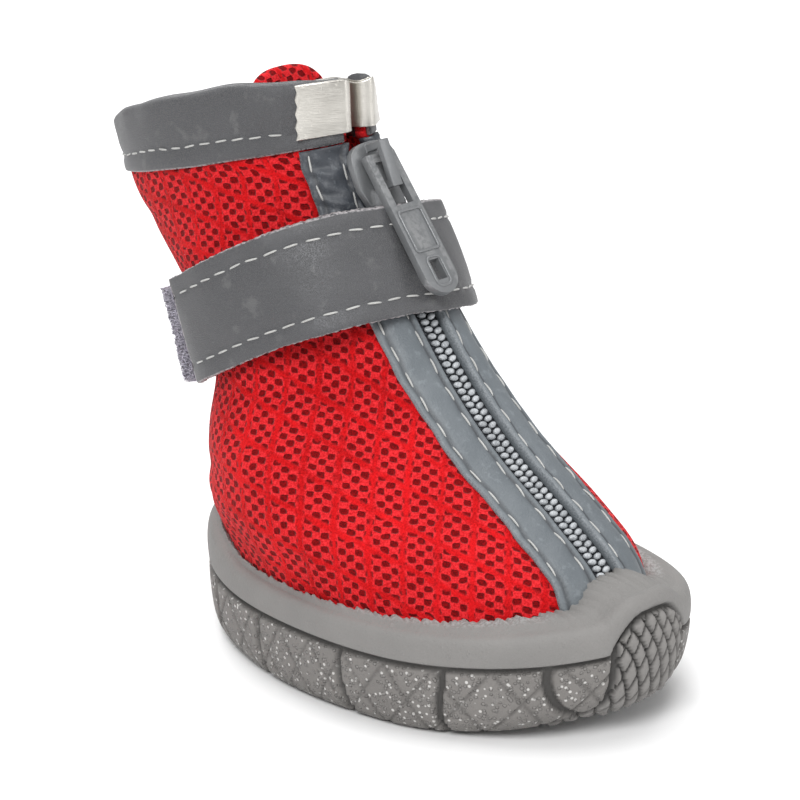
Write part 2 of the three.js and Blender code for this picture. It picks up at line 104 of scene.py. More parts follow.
class Wire:
    """A value in a material's nodes that can stand in a Python sum."""

    def __init__(self, tree, socket=None):
        self.tree, self.socket = tree, socket

    def make(self, kind, settings=None, inputs=None, output=0):
        """Any other node, from its type, its settings and the values or links of its sockets."""
        node = self.tree.nodes.new(kind)
        for name, value in (settings or {}).items():
            setattr(node, name, value)
        for key, value in (inputs or {}).items():
            if isinstance(value, Wire):
                self.tree.links.new(value.socket, node.inputs[key])
            else:
                node.inputs[key].default_value = value
        return Wire(self.tree, node.outputs[output])

    def math(self, operation, *values):
        return self.make("ShaderNodeMath", {"operation": operation}, dict(enumerate(values)))

    def __add__(self, other): return self.math("ADD", self, other)
    def __radd__(self, other): return self.math("ADD", other, self)
    def __sub__(self, other): return self.math("SUBTRACT", self, other)
    def __rsub__(self, other): return self.math("SUBTRACT", other, self)
    def __mul__(self, other): return self.math("MULTIPLY", self, other)
    def __rmul__(self, other): return self.math("MULTIPLY", other, self)
    def __truediv__(self, other): return self.math("DIVIDE", self, other)
    def __pow__(self, other): return self.math("POWER", self, other)

    def rise(self, low, high):
        """0 below low, 1 above high, and smooth between."""
        return self.make(
            "ShaderNodeMapRange",
            {"interpolation_type": "SMOOTHSTEP"},
            {"Value": self, "From Min": low, "From Max": high},
        )

    def blend(self, from_colour, to_colour):
        """A colour between two, by this value."""
        full = [c if isinstance(c, Wire) else (*c, 1) for c in (from_colour, to_colour)]
        return self.make(
            "ShaderNodeMix", {"data_type": "RGBA"}, {0: self, 6: full[0], 7: full[1]}, output=2
        )

    def place(self):
        """Positions on the piece, in millimetres."""
        spot = self.make("ShaderNodeTexCoord", output=3)
        return self.make(
            "ShaderNodeVectorMath", {"operation": "SCALE"}, {0: spot, "Scale": 1000.0}
        )

    def attribute(self, name, output=2):
        return self.make("ShaderNodeAttribute", {"attribute_name": name}, output=output)

    def noise(self, at, size, detail=2.0, roughness=0.5):
        """Cloudy values about 0.5 whose patches are size millimetres across."""
        return self.make(
            "ShaderNodeTexNoise",
            {},
            {"Vector": at, "Scale": 1 / size, "Detail": detail, "Roughness": roughness},
        )

    def cells(self, at, size, feature="F1", output=0):
        return self.make(
            "ShaderNodeTexVoronoi", {"feature": feature}, {"Vector": at, "Scale": 1 / size},
            output=output,
        )

    def bump(self, height, depth, under=None):
        """A Normal from heights of 0 to 1, depth millimetres deep."""
        inputs = {"Height": height, "Distance": depth / 1000, "Strength": 1.0}
        if under is not None:
            inputs["Normal"] = under
        return self.make("ShaderNodeBump", {}, inputs)


def finish_of(name, build, **uniform):
    """A material whose changing inputs come from build(wire) and whose others are uniform."""
    material = bpy.data.materials.new(name)
    material.use_nodes = True
    tree = material.node_tree
    shader = tree.nodes["Principled BSDF"]
    for socket, value in uniform.items():
        shader.inputs[socket.replace("_", " ")].default_value = value
    for socket, value in build(Wire(tree)).items():
        tree.links.new(value.socket, shader.inputs[socket])
    return material


def sheet_mesh(name, points, faces, material, slot, attributes=None, smooth=True):
    """An object from points in millimetres, quads or triangles, and values for each point."""
    data = bpy.data.meshes.new(name)
    data.from_pydata((np.asarray(points) / 1000).tolist(), [], [list(f) for f in faces])
    for key, values in (attributes or {}).items():
        values = np.asarray(values, float)
        if values.ndim == 1:
            layer = data.attributes.new(key, "FLOAT", "POINT")
            layer.data.foreach_set("value", values.astype(np.float32))
        else:
            flat = np.zeros((len(values), 3), np.float32)
            flat[:, : values.shape[1]] = values
            layer = data.attributes.new(key, "FLOAT_VECTOR", "POINT")
            layer.data.foreach_set("vector", flat.ravel())
    data.polygons.foreach_set("use_smooth", [smooth] * len(data.polygons))
    data.materials.append(material)
    data.update()
    piece = bpy.data.objects.new(name, data)
    bpy.context.scene.collection.objects.link(piece)
    return piece


def floor_finish(wire):
    spot = wire.place()
    mottle = wire.noise(spot, 60.0, 3.0)
    return {
        "Base Color": mottle.blend((0.93, 0.93, 0.935), (0.96, 0.96, 0.96)),
        "Roughness": mottle * 0.1 + 0.5,
    }


FLOOR_HALF = 3000
floor_corners = [(-FLOOR_HALF, -FLOOR_HALF), (FLOOR_HALF, -FLOOR_HALF),
                 (FLOOR_HALF, FLOOR_HALF), (-FLOOR_HALF, FLOOR_HALF)]
floor_data = bpy.data.meshes.new("studio_floor")
floor_data.from_pydata([(x / 1000, y / 1000, 0) for x, y in floor_corners], [], [(0, 1, 2, 3)])
floor_data.materials.append(finish_of("studio_floor", floor_finish))
floor = bpy.data.objects.new("studio_floor", floor_data)
bpy.context.scene.collection.objects.link(floor)

# ---------- outsole ----------
# One moulded gray rubber cup sole: lugged underside, pebbled side blocks, a domed toe bumper
# of cut diamonds, and a smooth foxing band that is glued to the mesh and arches over the toe.

SOLE_HALF_LENGTH, SOLE_HALF_WIDTH = 43.8, 28.8
SPRING_START = 12
FRONT_FULLNESS, BACK_FULLNESS, EGG = 1.0, 0.96, 0.02
HEEL_FROM = 20
LIP_FLAT_HALF, LIP_HALF = 3, 9.5
# height and inset along the sides, the same at the toe's tip, the lip's rise over the bumper
# and the band's rise round the heel
SOLE_LEVELS = np.array([
    # z, toe z, inset, toe inset, lip, heel
    (0.0, 0.0, 9.0, 27.0, 0.0, 0),
    (0.0, 3.0, 4.2, 8.5, 0.0, 0),
    (0.9, 4.4, 2.2, 4.6, 0.0, 0),
    (3.5, 7.5, 0.9, 1.4, 0.0, 0),
    (9.0, 12.6, 0.1, 0.0, 0.6, 0),
    (13.0, 15.9, 0.1, 0.0, 1.7, 0.6),
    (15.4, 18.9, 0.5, 0.7, 2.3, 2.4),
    (16.5, 20.0, 1.5, 2.6, 2.6, 3.4),
])
UNDERSIDE_EDGE, FOXING_FOOT, FOXING_TOP = 1, 5, 7  # levels

# The upper's sections from the bottom edge to the rim, each a ring in a sloping plane.
UPPER_ROWS = np.array([
    # front y, front z, back y, back z, half width, fullness, pinch beside the zip, tilt to the left
    (-36.6, 4.8, 38.2, 4.8, 23.6, 0.92, 0, 0),
    (-36.6, 12, 39.6, 10.5, 25.4, 0.94, 0, 0),
    (-34.4, 21.8, 40.2, 17.5, 26.4, 0.99, 0.1, 0),
    (-25.4, 29.3, 41.4, 25.5, 28.2, 1.02, 0.25, 0),
    (-14, 36.9, 41, 34.3, 27, 1.03, 0.3, 0),
    (-4.4, 45.5, 41.2, 42, 22.6, 1.03, 0.28, 0),
    (4, 55.6, 45, 48.8, 19.2, 1.05, 0.2, 0),
    (10.1, 64.3, 53, 55.2, 17.4, 1.08, 0.12, 0),
    (15.1, 72.3, 61, 61.4, 15.6, 1.1, 0.06, 0),
    (18.6, 80.6, 66.8, 67.2, 14, 1.1, 0.02, 0),
    (19.3, 89.4, 70, 74, 12.6, 1.1, 0, 0.016),
])
PINCH_CENTRE, PINCH_SPREAD = 0.91, 0.52
WALL = 1.6


def along_table(table, at):
    """A smooth curve through a table's rows, carried on straight past both ends."""
    full = np.vstack([2 * table[0] - table[1], table, 2 * table[-1] - table[-2]])
    at = np.asarray(at, float)
    i = np.clip(np.floor(at).astype(int), 0, len(table) - 2)
    t = (at - i)[..., None]
    a, b, c, d = full[i], full[i + 1], full[i + 2], full[i + 3]
    bend = 2 * a - 5 * b + 4 * c - d
    twist = 3 * b - a - 3 * c + d
    return 0.5 * (2 * b + (c - a) * t + bend * t**2 + twist * t**3)


def signed_power(value, power):
    return np.sign(value) * np.abs(value) ** power


def upper_point(row, angle):
    """On the upper's outer face; angle is 0 at the front and grows towards +X."""
    row, angle = np.broadcast_arrays(row, angle)
    front_y, front_z, back_y, back_z, half, fullness, pinch, tilt = np.moveaxis(
        along_table(UPPER_ROWS, row), -1, 0
    )
    back = (1 - np.cos(angle)) / 2
    from_front = np.abs(np.arctan2(np.sin(angle), np.cos(angle)))
    slim = 1 - pinch * np.exp(-(((from_front - PINCH_CENTRE) / PINCH_SPREAD) ** 2))
    x = half * slim * signed_power(np.sin(angle), fullness)
    y = front_y + (back_y - front_y) * back
    z = front_z + (back_z - front_z) * back - tilt * x * np.abs(x)
    return np.stack([x, y, z], -1)


def unit(vectors):
    return vectors / np.maximum(np.linalg.norm(vectors, axis=-1, keepdims=True), 1e-9)


def outward(surface, row, angle, step=0.02):
    """The outward direction of a surface of rows and angles."""
    along = surface(row, np.asarray(angle) + step) - surface(row, np.asarray(angle) - step)
    up = surface(np.asarray(row) + step, angle) - surface(np.asarray(row) - step, angle)
    return unit(np.cross(along, up))


def upper_at(row, angle, offset):
    return upper_point(row, angle) + outward(upper_point, row, angle) * np.asarray(offset)[..., None]


def smooth_step(low, high, value):
    t = np.clip((value - low) / (high - low), 0, 1)
    return t * t * (3 - 2 * t)


def sole_point(level, angle):
    level, angle = np.broadcast_arrays(level, angle)
    z, toe_z, inset, toe_inset, lip, heel = np.moveaxis(along_table(SOLE_LEVELS, level), -1, 0)
    forward = np.cos(angle)
    fullness = np.where(forward > 0, FRONT_FULLNESS, BACK_FULLNESS)
    ahead = SOLE_HALF_LENGTH * forward - SPRING_START
    toe = np.maximum(0, ahead / (SOLE_HALF_LENGTH - SPRING_START)) ** 2
    pulled = inset + (toe_inset - inset) * toe
    x = (SOLE_HALF_WIDTH - pulled) * signed_power(np.sin(angle), fullness) * (1 + EGG * forward)
    y = -(SOLE_HALF_LENGTH - pulled) * forward
    fade = np.clip((np.abs(x) - LIP_FLAT_HALF) / (LIP_HALF - LIP_FLAT_HALF), 0, 1)
    over = np.where(forward > 0, lip * (0.5 + 0.5 * np.cos(np.pi * fade)), 0)
    behind = np.clip((y - HEEL_FROM) / (SOLE_HALF_LENGTH - HEEL_FROM), 0, 1)
    return np.stack([x, y, z + (toe_z - z) * toe + over + heel * behind], -1)


def groove(distance, half_width, soft=0.25):
    """1 in a groove, 0 beyond its edge."""
    return 1 - smooth_step(half_width - soft / 2, half_width + soft / 2, np.abs(distance))


def ring_faces(rings, count):
    """Quads between closed rings that follow each other."""
    i, j = np.meshgrid(np.arange(rings - 1), np.arange(count), indexing="ij")
    a, b = i * count + j, i * count + (j + 1) % count
    return np.stack([a, b, b + count, a + count], -1).reshape(-1, 4)


WALL_STEPS, WALL_LEVELS = 600, 74
SIDE_GROOVES_Y = (-37.2, -22.6, -5.7, 13.6, 29.0)
BUMPER_HALF, BUMPER_SPREAD, BUMPER_ARCH = 7.4, 5.5, 1.1
BAND_FOOT_LEVEL = 4.56
LEVEL_MM = 4.4  # what a level comes to up the bumper
GROOVE_DEPTH, GROOVE_HALF = 0.9, 0.55

sole_angles = np.linspace(0, 2 * np.pi, WALL_STEPS, endpoint=False)
wall_levels = np.concatenate([
    np.linspace(UNDERSIDE_EDGE, 3, 20, endpoint=False),
    np.linspace(3, FOXING_FOOT, 30, endpoint=False),
    np.linspace(FOXING_FOOT, FOXING_TOP, WALL_LEVELS - 50),
])
level_grid, angle_grid = np.meshgrid(wall_levels, sole_angles, indexing="ij")
wall_points = sole_point(level_grid, angle_grid)
wall_out = outward(sole_point, level_grid, angle_grid)
x, y, z = np.moveaxis(wall_points, -1, 0)
forward = np.cos(angle_grid)
toe_rise = np.maximum(0, (-y - SPRING_START) / (SOLE_HALF_LENGTH - SPRING_START)) ** 2
height = z - 4 * toe_rise  # height up the side wall, without the toe spring

# the bumper spreads at its foot, and the band's lower edge arches over it
bumper_edge = BUMPER_HALF + BUMPER_SPREAD * (1 - smooth_step(1.4, 2.9, level_grid))
in_bumper = (forward > 0.5) * (1 - smooth_step(-0.4, 0.4, np.abs(x) - bumper_edge))
arch = np.sqrt(np.clip(1 - (x / (BUMPER_HALF + 0.6)) ** 2, 0, 1)) * (forward > 0.5)
band_foot = BAND_FOOT_LEVEL + BUMPER_ARCH * arch
above_foot = level_grid - band_foot
below_band = 1 - smooth_step(-0.06, 0.06, above_foot)
on_side = (1 - in_bumper) * below_band

cross = np.zeros_like(x)
for place in SIDE_GROOVES_Y:
    bow = 0.6 * np.sin((height - 5) * 0.35 + place)
    cross = np.maximum(cross, groove(y - place - bow, GROOVE_HALF))
around_bumper = (forward > 0.5) * groove(np.abs(x) - bumper_edge, 0.55)
under_band = groove(above_foot, 0.11, 0.08)

# diamonds: two families of slanting cuts over the bumper
DIAMOND_WIDTH, DIAMOND_HEIGHT = 2.35, 4.7
rise_up = (level_grid - UNDERSIDE_EDGE) * LEVEL_MM
slant_a = (x / DIAMOND_WIDTH + rise_up / DIAMOND_HEIGHT) % 1.0
slant_b = (x / DIAMOND_WIDTH - rise_up / DIAMOND_HEIGHT) % 1.0
nearest = np.minimum(np.minimum(slant_a, 1 - slant_a), np.minimum(slant_b, 1 - slant_b))
diamond_cut = 1 - smooth_step(0.04, 0.12, nearest)
diamond_crown = smooth_step(0.08, 0.45, nearest)

# fine cut lines over the side blocks: slanting pairs that make triangles
arc = np.arctan2(x, -y) * 30
line_a = (arc / 7.4 + height / 11.0) % 1.0
line_b = (arc / 7.4 - height / 11.0) % 1.0
fine = np.maximum(*[groove((line - 0.5) * 7.0, 0.22, 0.3) for line in (line_a, line_b)])

sunk = np.maximum.reduce([
    cross * below_band * (1 - in_bumper) * GROOVE_DEPTH,
    around_bumper * below_band,
    under_band * 0.8,
    in_bumper * below_band * diamond_cut * 0.75,
    on_side * fine * 0.28,
])
dome = in_bumper * below_band * (0.5 + 0.35 * diamond_crown)
dome *= 1 - smooth_step(0.55, 1.0, np.abs(x) / BUMPER_HALF) * 0.6
wander = 0.12 * np.sin(y * 0.21 + z * 0.3) + 0.08 * np.sin(x * 0.33 - y * 0.17 + 1.3)
band_share = np.clip((above_foot - 0.1) / (FOXING_TOP - band_foot - 0.1), 0, 1)
band_swell = (0.45 + 0.35 * arch) * np.sin(np.pi * band_share) ** 0.7
wall_points = wall_points + wall_out * (dome + band_swell + wander * 0.6 - sunk)[..., None]

# The band's top rolls over to the mesh, then the rubber goes on down inside the upper's wall.
rows_fine = np.linspace(0.2, 3.4, 161)
heights = upper_point(rows_fine[:, None], sole_angles[None, :])[..., 2]
joint_height = wall_points[-1][:, 2] + 0.35
ragged = (
    0.22 * np.sin(sole_angles * 61 + 2 * np.sin(sole_angles * 17))
    + 0.18 * np.sin(sole_angles * 143 + 1.0)
    + 0.14 * np.sin(sole_angles * 251 + 3 * np.sin(sole_angles * 29))
)
joint_rows = np.array([
    np.interp(h, heights[:, k], rows_fine) for k, h in enumerate(joint_height + ragged)
])
joint = upper_at(joint_rows, sole_angles, np.full(WALL_STEPS, 0.25))
top_outer = wall_points[-1]
roll = []
for share in (0.3, 0.6, 0.85):
    ring = top_outer + (joint - top_outer) * share
    ring[:, 2] += 0.55 * math.sin(math.pi * share)
    roll.append(ring)
roll.append(joint)
inside = [
    upper_at(np.clip(joint_rows - drop, 0, None), sole_angles, np.full(WALL_STEPS, -WALL / 2))
    for drop in (0.02, 0.6, 1.6, 3.0)
]
floor_ring = inside[-1] * np.array([0.9, 0.9, 1.0]) - np.array([0, 0, 0.9])
rings = [*wall_points, *roll, *inside, floor_ring]
wall_count = len(rings)
flat = np.concatenate(rings)
centre_top = np.array([[0.0, 0.0, 3.6]])


# The underside: rings shrink from the wall's foot to the middle.
UNDER_RINGS = 80
shares = np.linspace(1, 0, UNDER_RINGS + 1)[1:-1]
foot = sole_point(np.full(WALL_STEPS, float(UNDERSIDE_EDGE)), sole_angles)
flat_edge = sole_point(np.zeros(WALL_STEPS), sole_angles)
outer_share = 1 - np.linalg.norm((foot - flat_edge)[:, :2], axis=1) / np.linalg.norm(foot[:, :2], axis=1)
under = []
for share in shares:
    ring = foot * share
    ring[:, 2] = foot[:, 2] * np.clip((share - outer_share) / (1 - outer_share), 0, 1) ** 1.6
    under.append(ring)
under = np.array(under)
ux, uy = under[..., 0], under[..., 1]

TREAD_DEPTH = 1.1
# half widths of the long groove round the middle of the tread, from toe to heel
FIELD = np.array([
    (-36.9, 9.9), (-27.7, 9.9), (-22.8, 14.2), (-14, 16.6), (-4, 15.2),
    (7.5, 9.9), (16, 6.6), (24.4, 5.8), (38, 6.4),
])
HEXAGONS_Y = (-17.5, -11.6, -5.2, 1.1)
HEXAGON_HALF = 2.6
RING_BLOCK = (9.6, -17.0, 5.4)  # x, y and radius of the round block


def tread_cuts(px, py):
    """How deep the underside is cut at each place, from 0 to 1."""
    field_half = np.interp(py, FIELD[:, 0], FIELD[:, 1])
    in_length = (py > FIELD[0, 0]) * (py < FIELD[-1, 0])
    cut = groove(np.abs(px) - field_half, 0.65) * in_length
    for place in SIDE_GROOVES_Y:
        bow = 0.5 * np.cos(px * 0.09) * (1 if place > 0 else -1)
        cut = np.maximum(cut, groove(py - place - bow, 0.65))
    inside_field = (np.abs(px) < field_half - 0.6) * in_length
    slants = [((px + s * py) / 4.1) % 1.0 - 0.5 for s in (1, -1)]
    hatch = np.maximum(*[groove(v * 4.1, 0.42) for v in slants])
    toe = (py < -37.4) | ((py > 17) & inside_field)
    cut = np.maximum(cut, hatch * toe * 0.7)
    # triangles beside the field: slanting cuts met by short cross cuts
    outer = (np.abs(px) > field_half + 0.8) * (py > -36.6)
    zig = np.abs(((py / 8.2) % 1.0) - 0.5) * 2 * 8.5
    edge = np.abs(px) - field_half - 1.2
    cut = np.maximum(cut, groove((edge - zig) * 0.72, 0.4) * outer * 0.75)
    # hexagons down the middle with chevrons beside them
    middle = inside_field * (py > -22.4) * (py < 4.6)
    hexes = np.zeros_like(px)
    near_hex = np.zeros_like(px)
    for place in HEXAGONS_Y:
        qx, qy = np.abs(px), np.abs(py - place)
        reach = np.maximum(qy, 0.866 * qx + 0.5 * qy)
        hexes = np.maximum(hexes, groove(reach - HEXAGON_HALF - 0.3, 0.3))
        near_hex = np.maximum(near_hex, 1.0 * (reach < HEXAGON_HALF + 0.4))
    chevron = groove(((py - 0.55 * np.abs(px)) / 3.1 % 1.0 - 0.5) * 3.1, 0.38)
    ring_reach = np.hypot(px - RING_BLOCK[0], py - RING_BLOCK[1])
    near_ring = ring_reach < RING_BLOCK[2]
    rings_cut = groove((ring_reach / 1.8 % 1.0 - 0.5) * 1.8, 0.35)
    cut = np.maximum(cut, hexes * middle * 0.8)
    cut = np.maximum(cut, chevron * middle * (1 - near_hex) * (~near_ring) * 0.7)
    cut = np.maximum(cut, rings_cut * near_ring * middle * 0.8)
    triangle = groove(((px * 1.7 + py) / 5.0 % 1.0 - 0.5) * 4, 0.35)
    triangle = np.maximum(triangle, groove(((-px * 1.7 + py) / 5.0 % 1.0 - 0.5) * 4, 0.35))
    spots = (inside_field * (py < -22.4)) | (inside_field * (py > 4.6) * (py < 17))
    return np.maximum(cut, triangle * spots * 0.65)


under_cut = tread_cuts(ux, uy)
edge_fade = np.clip((1 - shares) / 0.06, 0, 1)[:, None]
under[..., 2] += under_cut * TREAD_DEPTH * edge_fade

under_flat = under[::-1].reshape(-1, 3)
under_centre = np.array([[0.0, 0.0, 0.0]])
under_count = len(shares)
points = np.concatenate([under_centre, under_flat, flat, centre_top])
total_rings = under_count + wall_count
faces = (ring_faces(total_rings, WALL_STEPS) + 1).tolist()
last = len(points) - 1
for k in range(WALL_STEPS):
    after = (k + 1) % WALL_STEPS
    base = 1 + (total_rings - 1) * WALL_STEPS
    faces.append((0, 1 + after, 1 + k))
    faces.append((last, base + k, base + after))


def sole_values(under_values, wall_values, rest):
    """One value for each point of the sole, in the order of its rings."""
    inner = under_values[::-1].reshape(-1)
    outer = np.asarray(wall_values, float).reshape(-1)
    tail = np.full(len(points) - 1 - len(inner) - len(outer), float(rest))
    return np.concatenate([[0.0], inner, outer, tail])


# How dark each place of the wall is painted: the cuts and grooves are given painted shade.
wall_cut = np.maximum.reduce([
    cross * on_side, around_bumper * below_band, under_band,
    in_bumper * below_band * diamond_cut * 1.25, on_side * fine * 0.45,
])
outer_blocks = np.clip((np.abs(ux) - np.interp(uy, FIELD[:, 0], FIELD[:, 1])) / 0.8, 0, 1)
# fibres stuck in the glue along the sides, none on the smooth lip over the toe
off_toe = smooth_step(12, 17, np.abs(sole_angles - 2 * np.pi * (sole_angles > np.pi)) * 30)
joint_wear = np.zeros((len(wall_points) + len(roll), WALL_STEPS))
joint_wear[-3:] = off_toe


def rubber_finish(wire):
    spot = wire.place()
    cut, pebbled, band, edge, faceted = (
        wire.attribute(n) for n in ("cut", "pebbled", "band", "joint", "faceted")
    )
    mottle = wire.noise(spot, 9.0, 4.0)
    grain = wire.noise(spot, 0.45, 3.0, 0.6)
    dots = 1 - wire.cells(spot, 0.85).rise(0.22, 0.42)
    glint = 1 - wire.cells(spot, 1.15).rise(0.16, 0.26)
    scuff = wire.noise(spot, 2.2, 5.0, 0.7).rise(0.56, 0.74)
    block = mottle.blend((0.145, 0.137, 0.130), (0.215, 0.204, 0.193))
    smooth_band = mottle.blend((0.175, 0.170, 0.164), (0.235, 0.228, 0.220))
    body = band.blend(block, smooth_band)
    # The raised pebble dots on the side blocks are painted paler than the rubber between them.
    paler_dots = (pebbled * dots * 0.35).blend(body, (0.27, 0.26, 0.25))
    shining = (pebbled * glint * 0.8).blend(paler_dots, (0.62, 0.61, 0.59))
    scuffed = (scuff * 0.2).blend(shining, (0.33, 0.32, 0.31))
    faces_lit = (faceted * 0.45).blend(scuffed, (0.24, 0.233, 0.226))
    fuzz = (edge * grain.rise(0.42, 0.58) * 0.65).blend(faces_lit, (0.36, 0.37, 0.37))
    # The cuts and grooves are painted near black: painted shade in the recesses.
    grooves_shaded = (cut * 0.8).blend(fuzz, (0.025, 0.024, 0.023))
    fine_normal = wire.bump(grain, 0.12)
    return {
        "Base Color": grooves_shaded,
        "Roughness": mottle * 0.15 + 0.58 - pebbled * glint * 0.2,
        "Normal": wire.bump(dots * pebbled + scuff * 0.3, 0.28, fine_normal),
    }


rubber = finish_of("rubber", rubber_finish, Specular_IOR_Level=0.4)
outsole = sheet_mesh(
    "sole_cup", points, faces, rubber, "rubber",
    {
        "cut": sole_values(under_cut, wall_cut, 0),
        "pebbled": sole_values(outer_blocks * (1 - under_cut), on_side * (1 - wall_cut), 0),
        "band": sole_values(under_cut * 0, smooth_step(0, 0.12, above_foot), 1),
        "joint": sole_values(under_cut * 0, joint_wear, 0),
        "faceted": sole_values(under_cut * 0, in_bumper * below_band * (1 - diamond_cut), 0),
    },
)
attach(outsole, BOOT)
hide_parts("outsole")


# ---------- insole ----------
# A cut foam footbed faced with woven lining, lying loose in the bottom of the boot.

INSOLE_RINGS, INSOLE_STEPS = 24, 160
INSOLE_INSET = WALL + 0.5
insole_angles = np.linspace(0, 2 * np.pi, INSOLE_STEPS, endpoint=False)
insole_edge = upper_at(np.full(INSOLE_STEPS, 0.1), insole_angles, np.full(INSOLE_STEPS, -INSOLE_INSET))
insole_rings = []
for share in np.linspace(0.04, 1, INSOLE_RINGS):
    ring = insole_edge * np.array([share, share, 0])
    ring[:, 2] = 6.9 - 0.5 * share**2 - 0.5 * share**12
    insole_rings.append(ring)
insole_rings.append(insole_edge * np.array([1, 1, 0]) + np.array([0, 0, 5.6]))
insole_rings.append(insole_edge * np.array([0.98, 0.98, 0]) + np.array([0, 0, 4.9]))


def capped(rings):
    """Points and faces of a closed form through rings of equally many points."""
    rings = np.asarray(rings)
    count, around = rings.shape[:2]
    points = np.concatenate([rings.reshape(-1, 3), rings[[0, -1]].mean(1)])
    faces = ring_faces(count, around).tolist()
    first, last = len(points) - 2, len(points) - 1
    base = (count - 1) * around
    for k in range(around):
        after = (k + 1) % around
        faces.append((first, after, k))
        faces.append((last, base + k, base + after))
    return points, faces


def ring_values(values, around):
    """One value for each point of a capped form, from one for each of its rings or points."""
    values = np.asarray(values, float)
    if values.ndim == 1:
        values = np.repeat(values[:, None], around, 1)
    return np.concatenate([values.reshape(-1), values[[0, -1]].mean(1)])


def lining_finish(wire):
    spot = wire.place()
    threads = wire.make(
        "ShaderNodeTexWave", {"bands_direction": "X"},
        {"Vector": spot, "Scale": 0.55, "Distortion": 0.6},
    )
    picks = wire.make(
        "ShaderNodeTexWave", {"bands_direction": "Y"},
        {"Vector": spot, "Scale": 0.55, "Distortion": 0.6},
    )
    weave = threads * 0.5 + picks * 0.5
    mottle = wire.noise(spot, 7.0, 4.0)
    return {
        "Base Color": (weave * 0.5 + mottle * 0.5).blend((0.05, 0.05, 0.055), (0.13, 0.13, 0.14)),
        "Roughness": mottle * 0.1 + 0.85,
        "Normal": wire.bump(weave, 0.25),
    }


lining = finish_of("lining", lining_finish, Specular_IOR_Level=0.2)
insole_points, insole_faces = capped(insole_rings)


def piece_from(name, form, material, slot, node=None, attributes=None, smooth=True, body=BOOT):
    """A finished piece from points and faces, with its faces turned outwards."""
    piece = sheet_mesh(name, *form, material, slot, attributes, smooth)
    shape = bmesh.new()
    shape.from_mesh(piece.data)
    bmesh.ops.recalc_face_normals(shape, faces=shape.faces)
    shape.to_mesh(piece.data)
    shape.free()
    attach(piece, body)
    if node:
        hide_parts(node)
    return piece


piece_from("footbed", (insole_points, insole_faces), lining, "foam", "insole")


# ---------- upper ----------
# Red air mesh over a thin lining, cut in two sides that meet in a heel seam and stop at the
# zip. It bulges over the foxing band and is drawn in under the strap.

SLIT_FROM_ROW, SLIT_HALF, COLLAR_SLIT_HALF, COLLAR_ROW = 1.75, 3.0, 2.0, 9.02
UPPER_COLUMNS, UPPER_ROWS_SHOWN = 270, 150
ARC_STEPS = 260


def angle_at(rows, distances):
    """The angles that lie some distances along each ring from the front."""
    rows, distances = np.asarray(rows, float), np.asarray(distances, float)
    fine = np.linspace(0, 1.35, ARC_STEPS)
    line = upper_point(rows[:, None], fine[None, :])
    steps = np.linalg.norm(np.diff(line, axis=1), axis=-1)
    length = np.concatenate([np.zeros((len(rows), 1)), np.cumsum(steps, 1)], 1)
    found = [np.interp(np.abs(d), l, fine) for d, l in zip(distances, length)]
    return np.sign(distances) * np.array(found)


# soft troughs (below zero) and ridges: row, angle, length and width in mm, turn, depth in mm
CREASES = np.array([
    (5.15, -78, 15, 2.4, 4, -0.75),
    (4.75, -46, 8, 1.9, -32, -0.50),
    (4.35, -105, 10, 2.6, 18, -0.40),
    (3.9, -92, 13, 3.4, -6, 0.35),
    (3.3, -146, 12, 2.4, 8, -0.55),
    (2.75, -128, 9, 2.0, -14, -0.40),
    (2.7, -70, 11, 2.6, 10, 0.30),
    (8.3, -72, 8, 1.9, 22, -0.40),
    (7.9, -120, 9, 2.2, -10, -0.45),
    (8.6, -40, 5, 1.6, -48, -0.30),
    (5.2, 84, 13, 2.4, -6, -0.70),
    (4.6, 50, 8, 2.0, 30, -0.45),
    (4.1, 112, 12, 2.8, -16, -0.45),
    (3.1, 140, 11, 2.4, 10, -0.50),
    (2.8, 76, 10, 2.4, -8, 0.30),
    (8.2, 78, 9, 2.0, -18, -0.40),
    (7.8, 128, 8, 2.2, 12, -0.35),
    (5.3, 176, 10, 2.2, 0, -0.55),
    (3.6, 178, 12, 3.0, 2, 0.35),
])
ROW_MM, TURN_MM = 9.5, 22.0  # what a row and a radian come to on the surface


def fabric_swell(row, angle):
    """How far the cloth stands off its plain form, in millimetres."""
    swell = np.zeros(np.broadcast(row, angle).shape)
    for place, degrees, length, width, turn, depth in CREASES:
        away = np.arctan2(np.sin(angle - np.radians(degrees)), np.cos(angle - np.radians(degrees)))
        across, up = away * TURN_MM, (row - place) * ROW_MM
        tilt = np.radians(turn)
        along = across * np.cos(tilt) + up * np.sin(tilt)
        beside = -across * np.sin(tilt) + up * np.cos(tilt)
        swell = swell + depth * np.exp(-((along / length) ** 2) - (beside / width) ** 2)
    pucker = np.exp(-(((row - 2.25) / 0.35) ** 2))
    swell = swell + 0.16 * pucker * np.sin(angle * 23 + 1.5 * np.sin(angle * 5))
    around = np.clip(np.abs(np.sin(angle)) * 2, 0, 1) * (1 - smooth_step(0.6, 0.9, np.cos(angle)))
    swell = swell + 0.5 * np.exp(-(((row - 2.75) / 0.5) ** 2)) * around
    drift = 0.14 * np.sin(angle * 6.0 + row * 1.1) * np.sin(row * 2.3 + 0.7)
    inside_sole = smooth_step(1.7, 2.1, row)
    front = np.abs(np.arctan2(np.sin(angle), np.cos(angle)))
    under_facing = smooth_step(0.22, 0.62, front)
    under_band = 1 - smooth_step(8.9, 9.2, row)
    heel_seam = -0.45 * np.exp(-(((np.pi - front) * 26 / 0.7) ** 2)) * under_band
    return (swell + drift) * inside_sole * under_facing * under_band + heel_seam * inside_sole


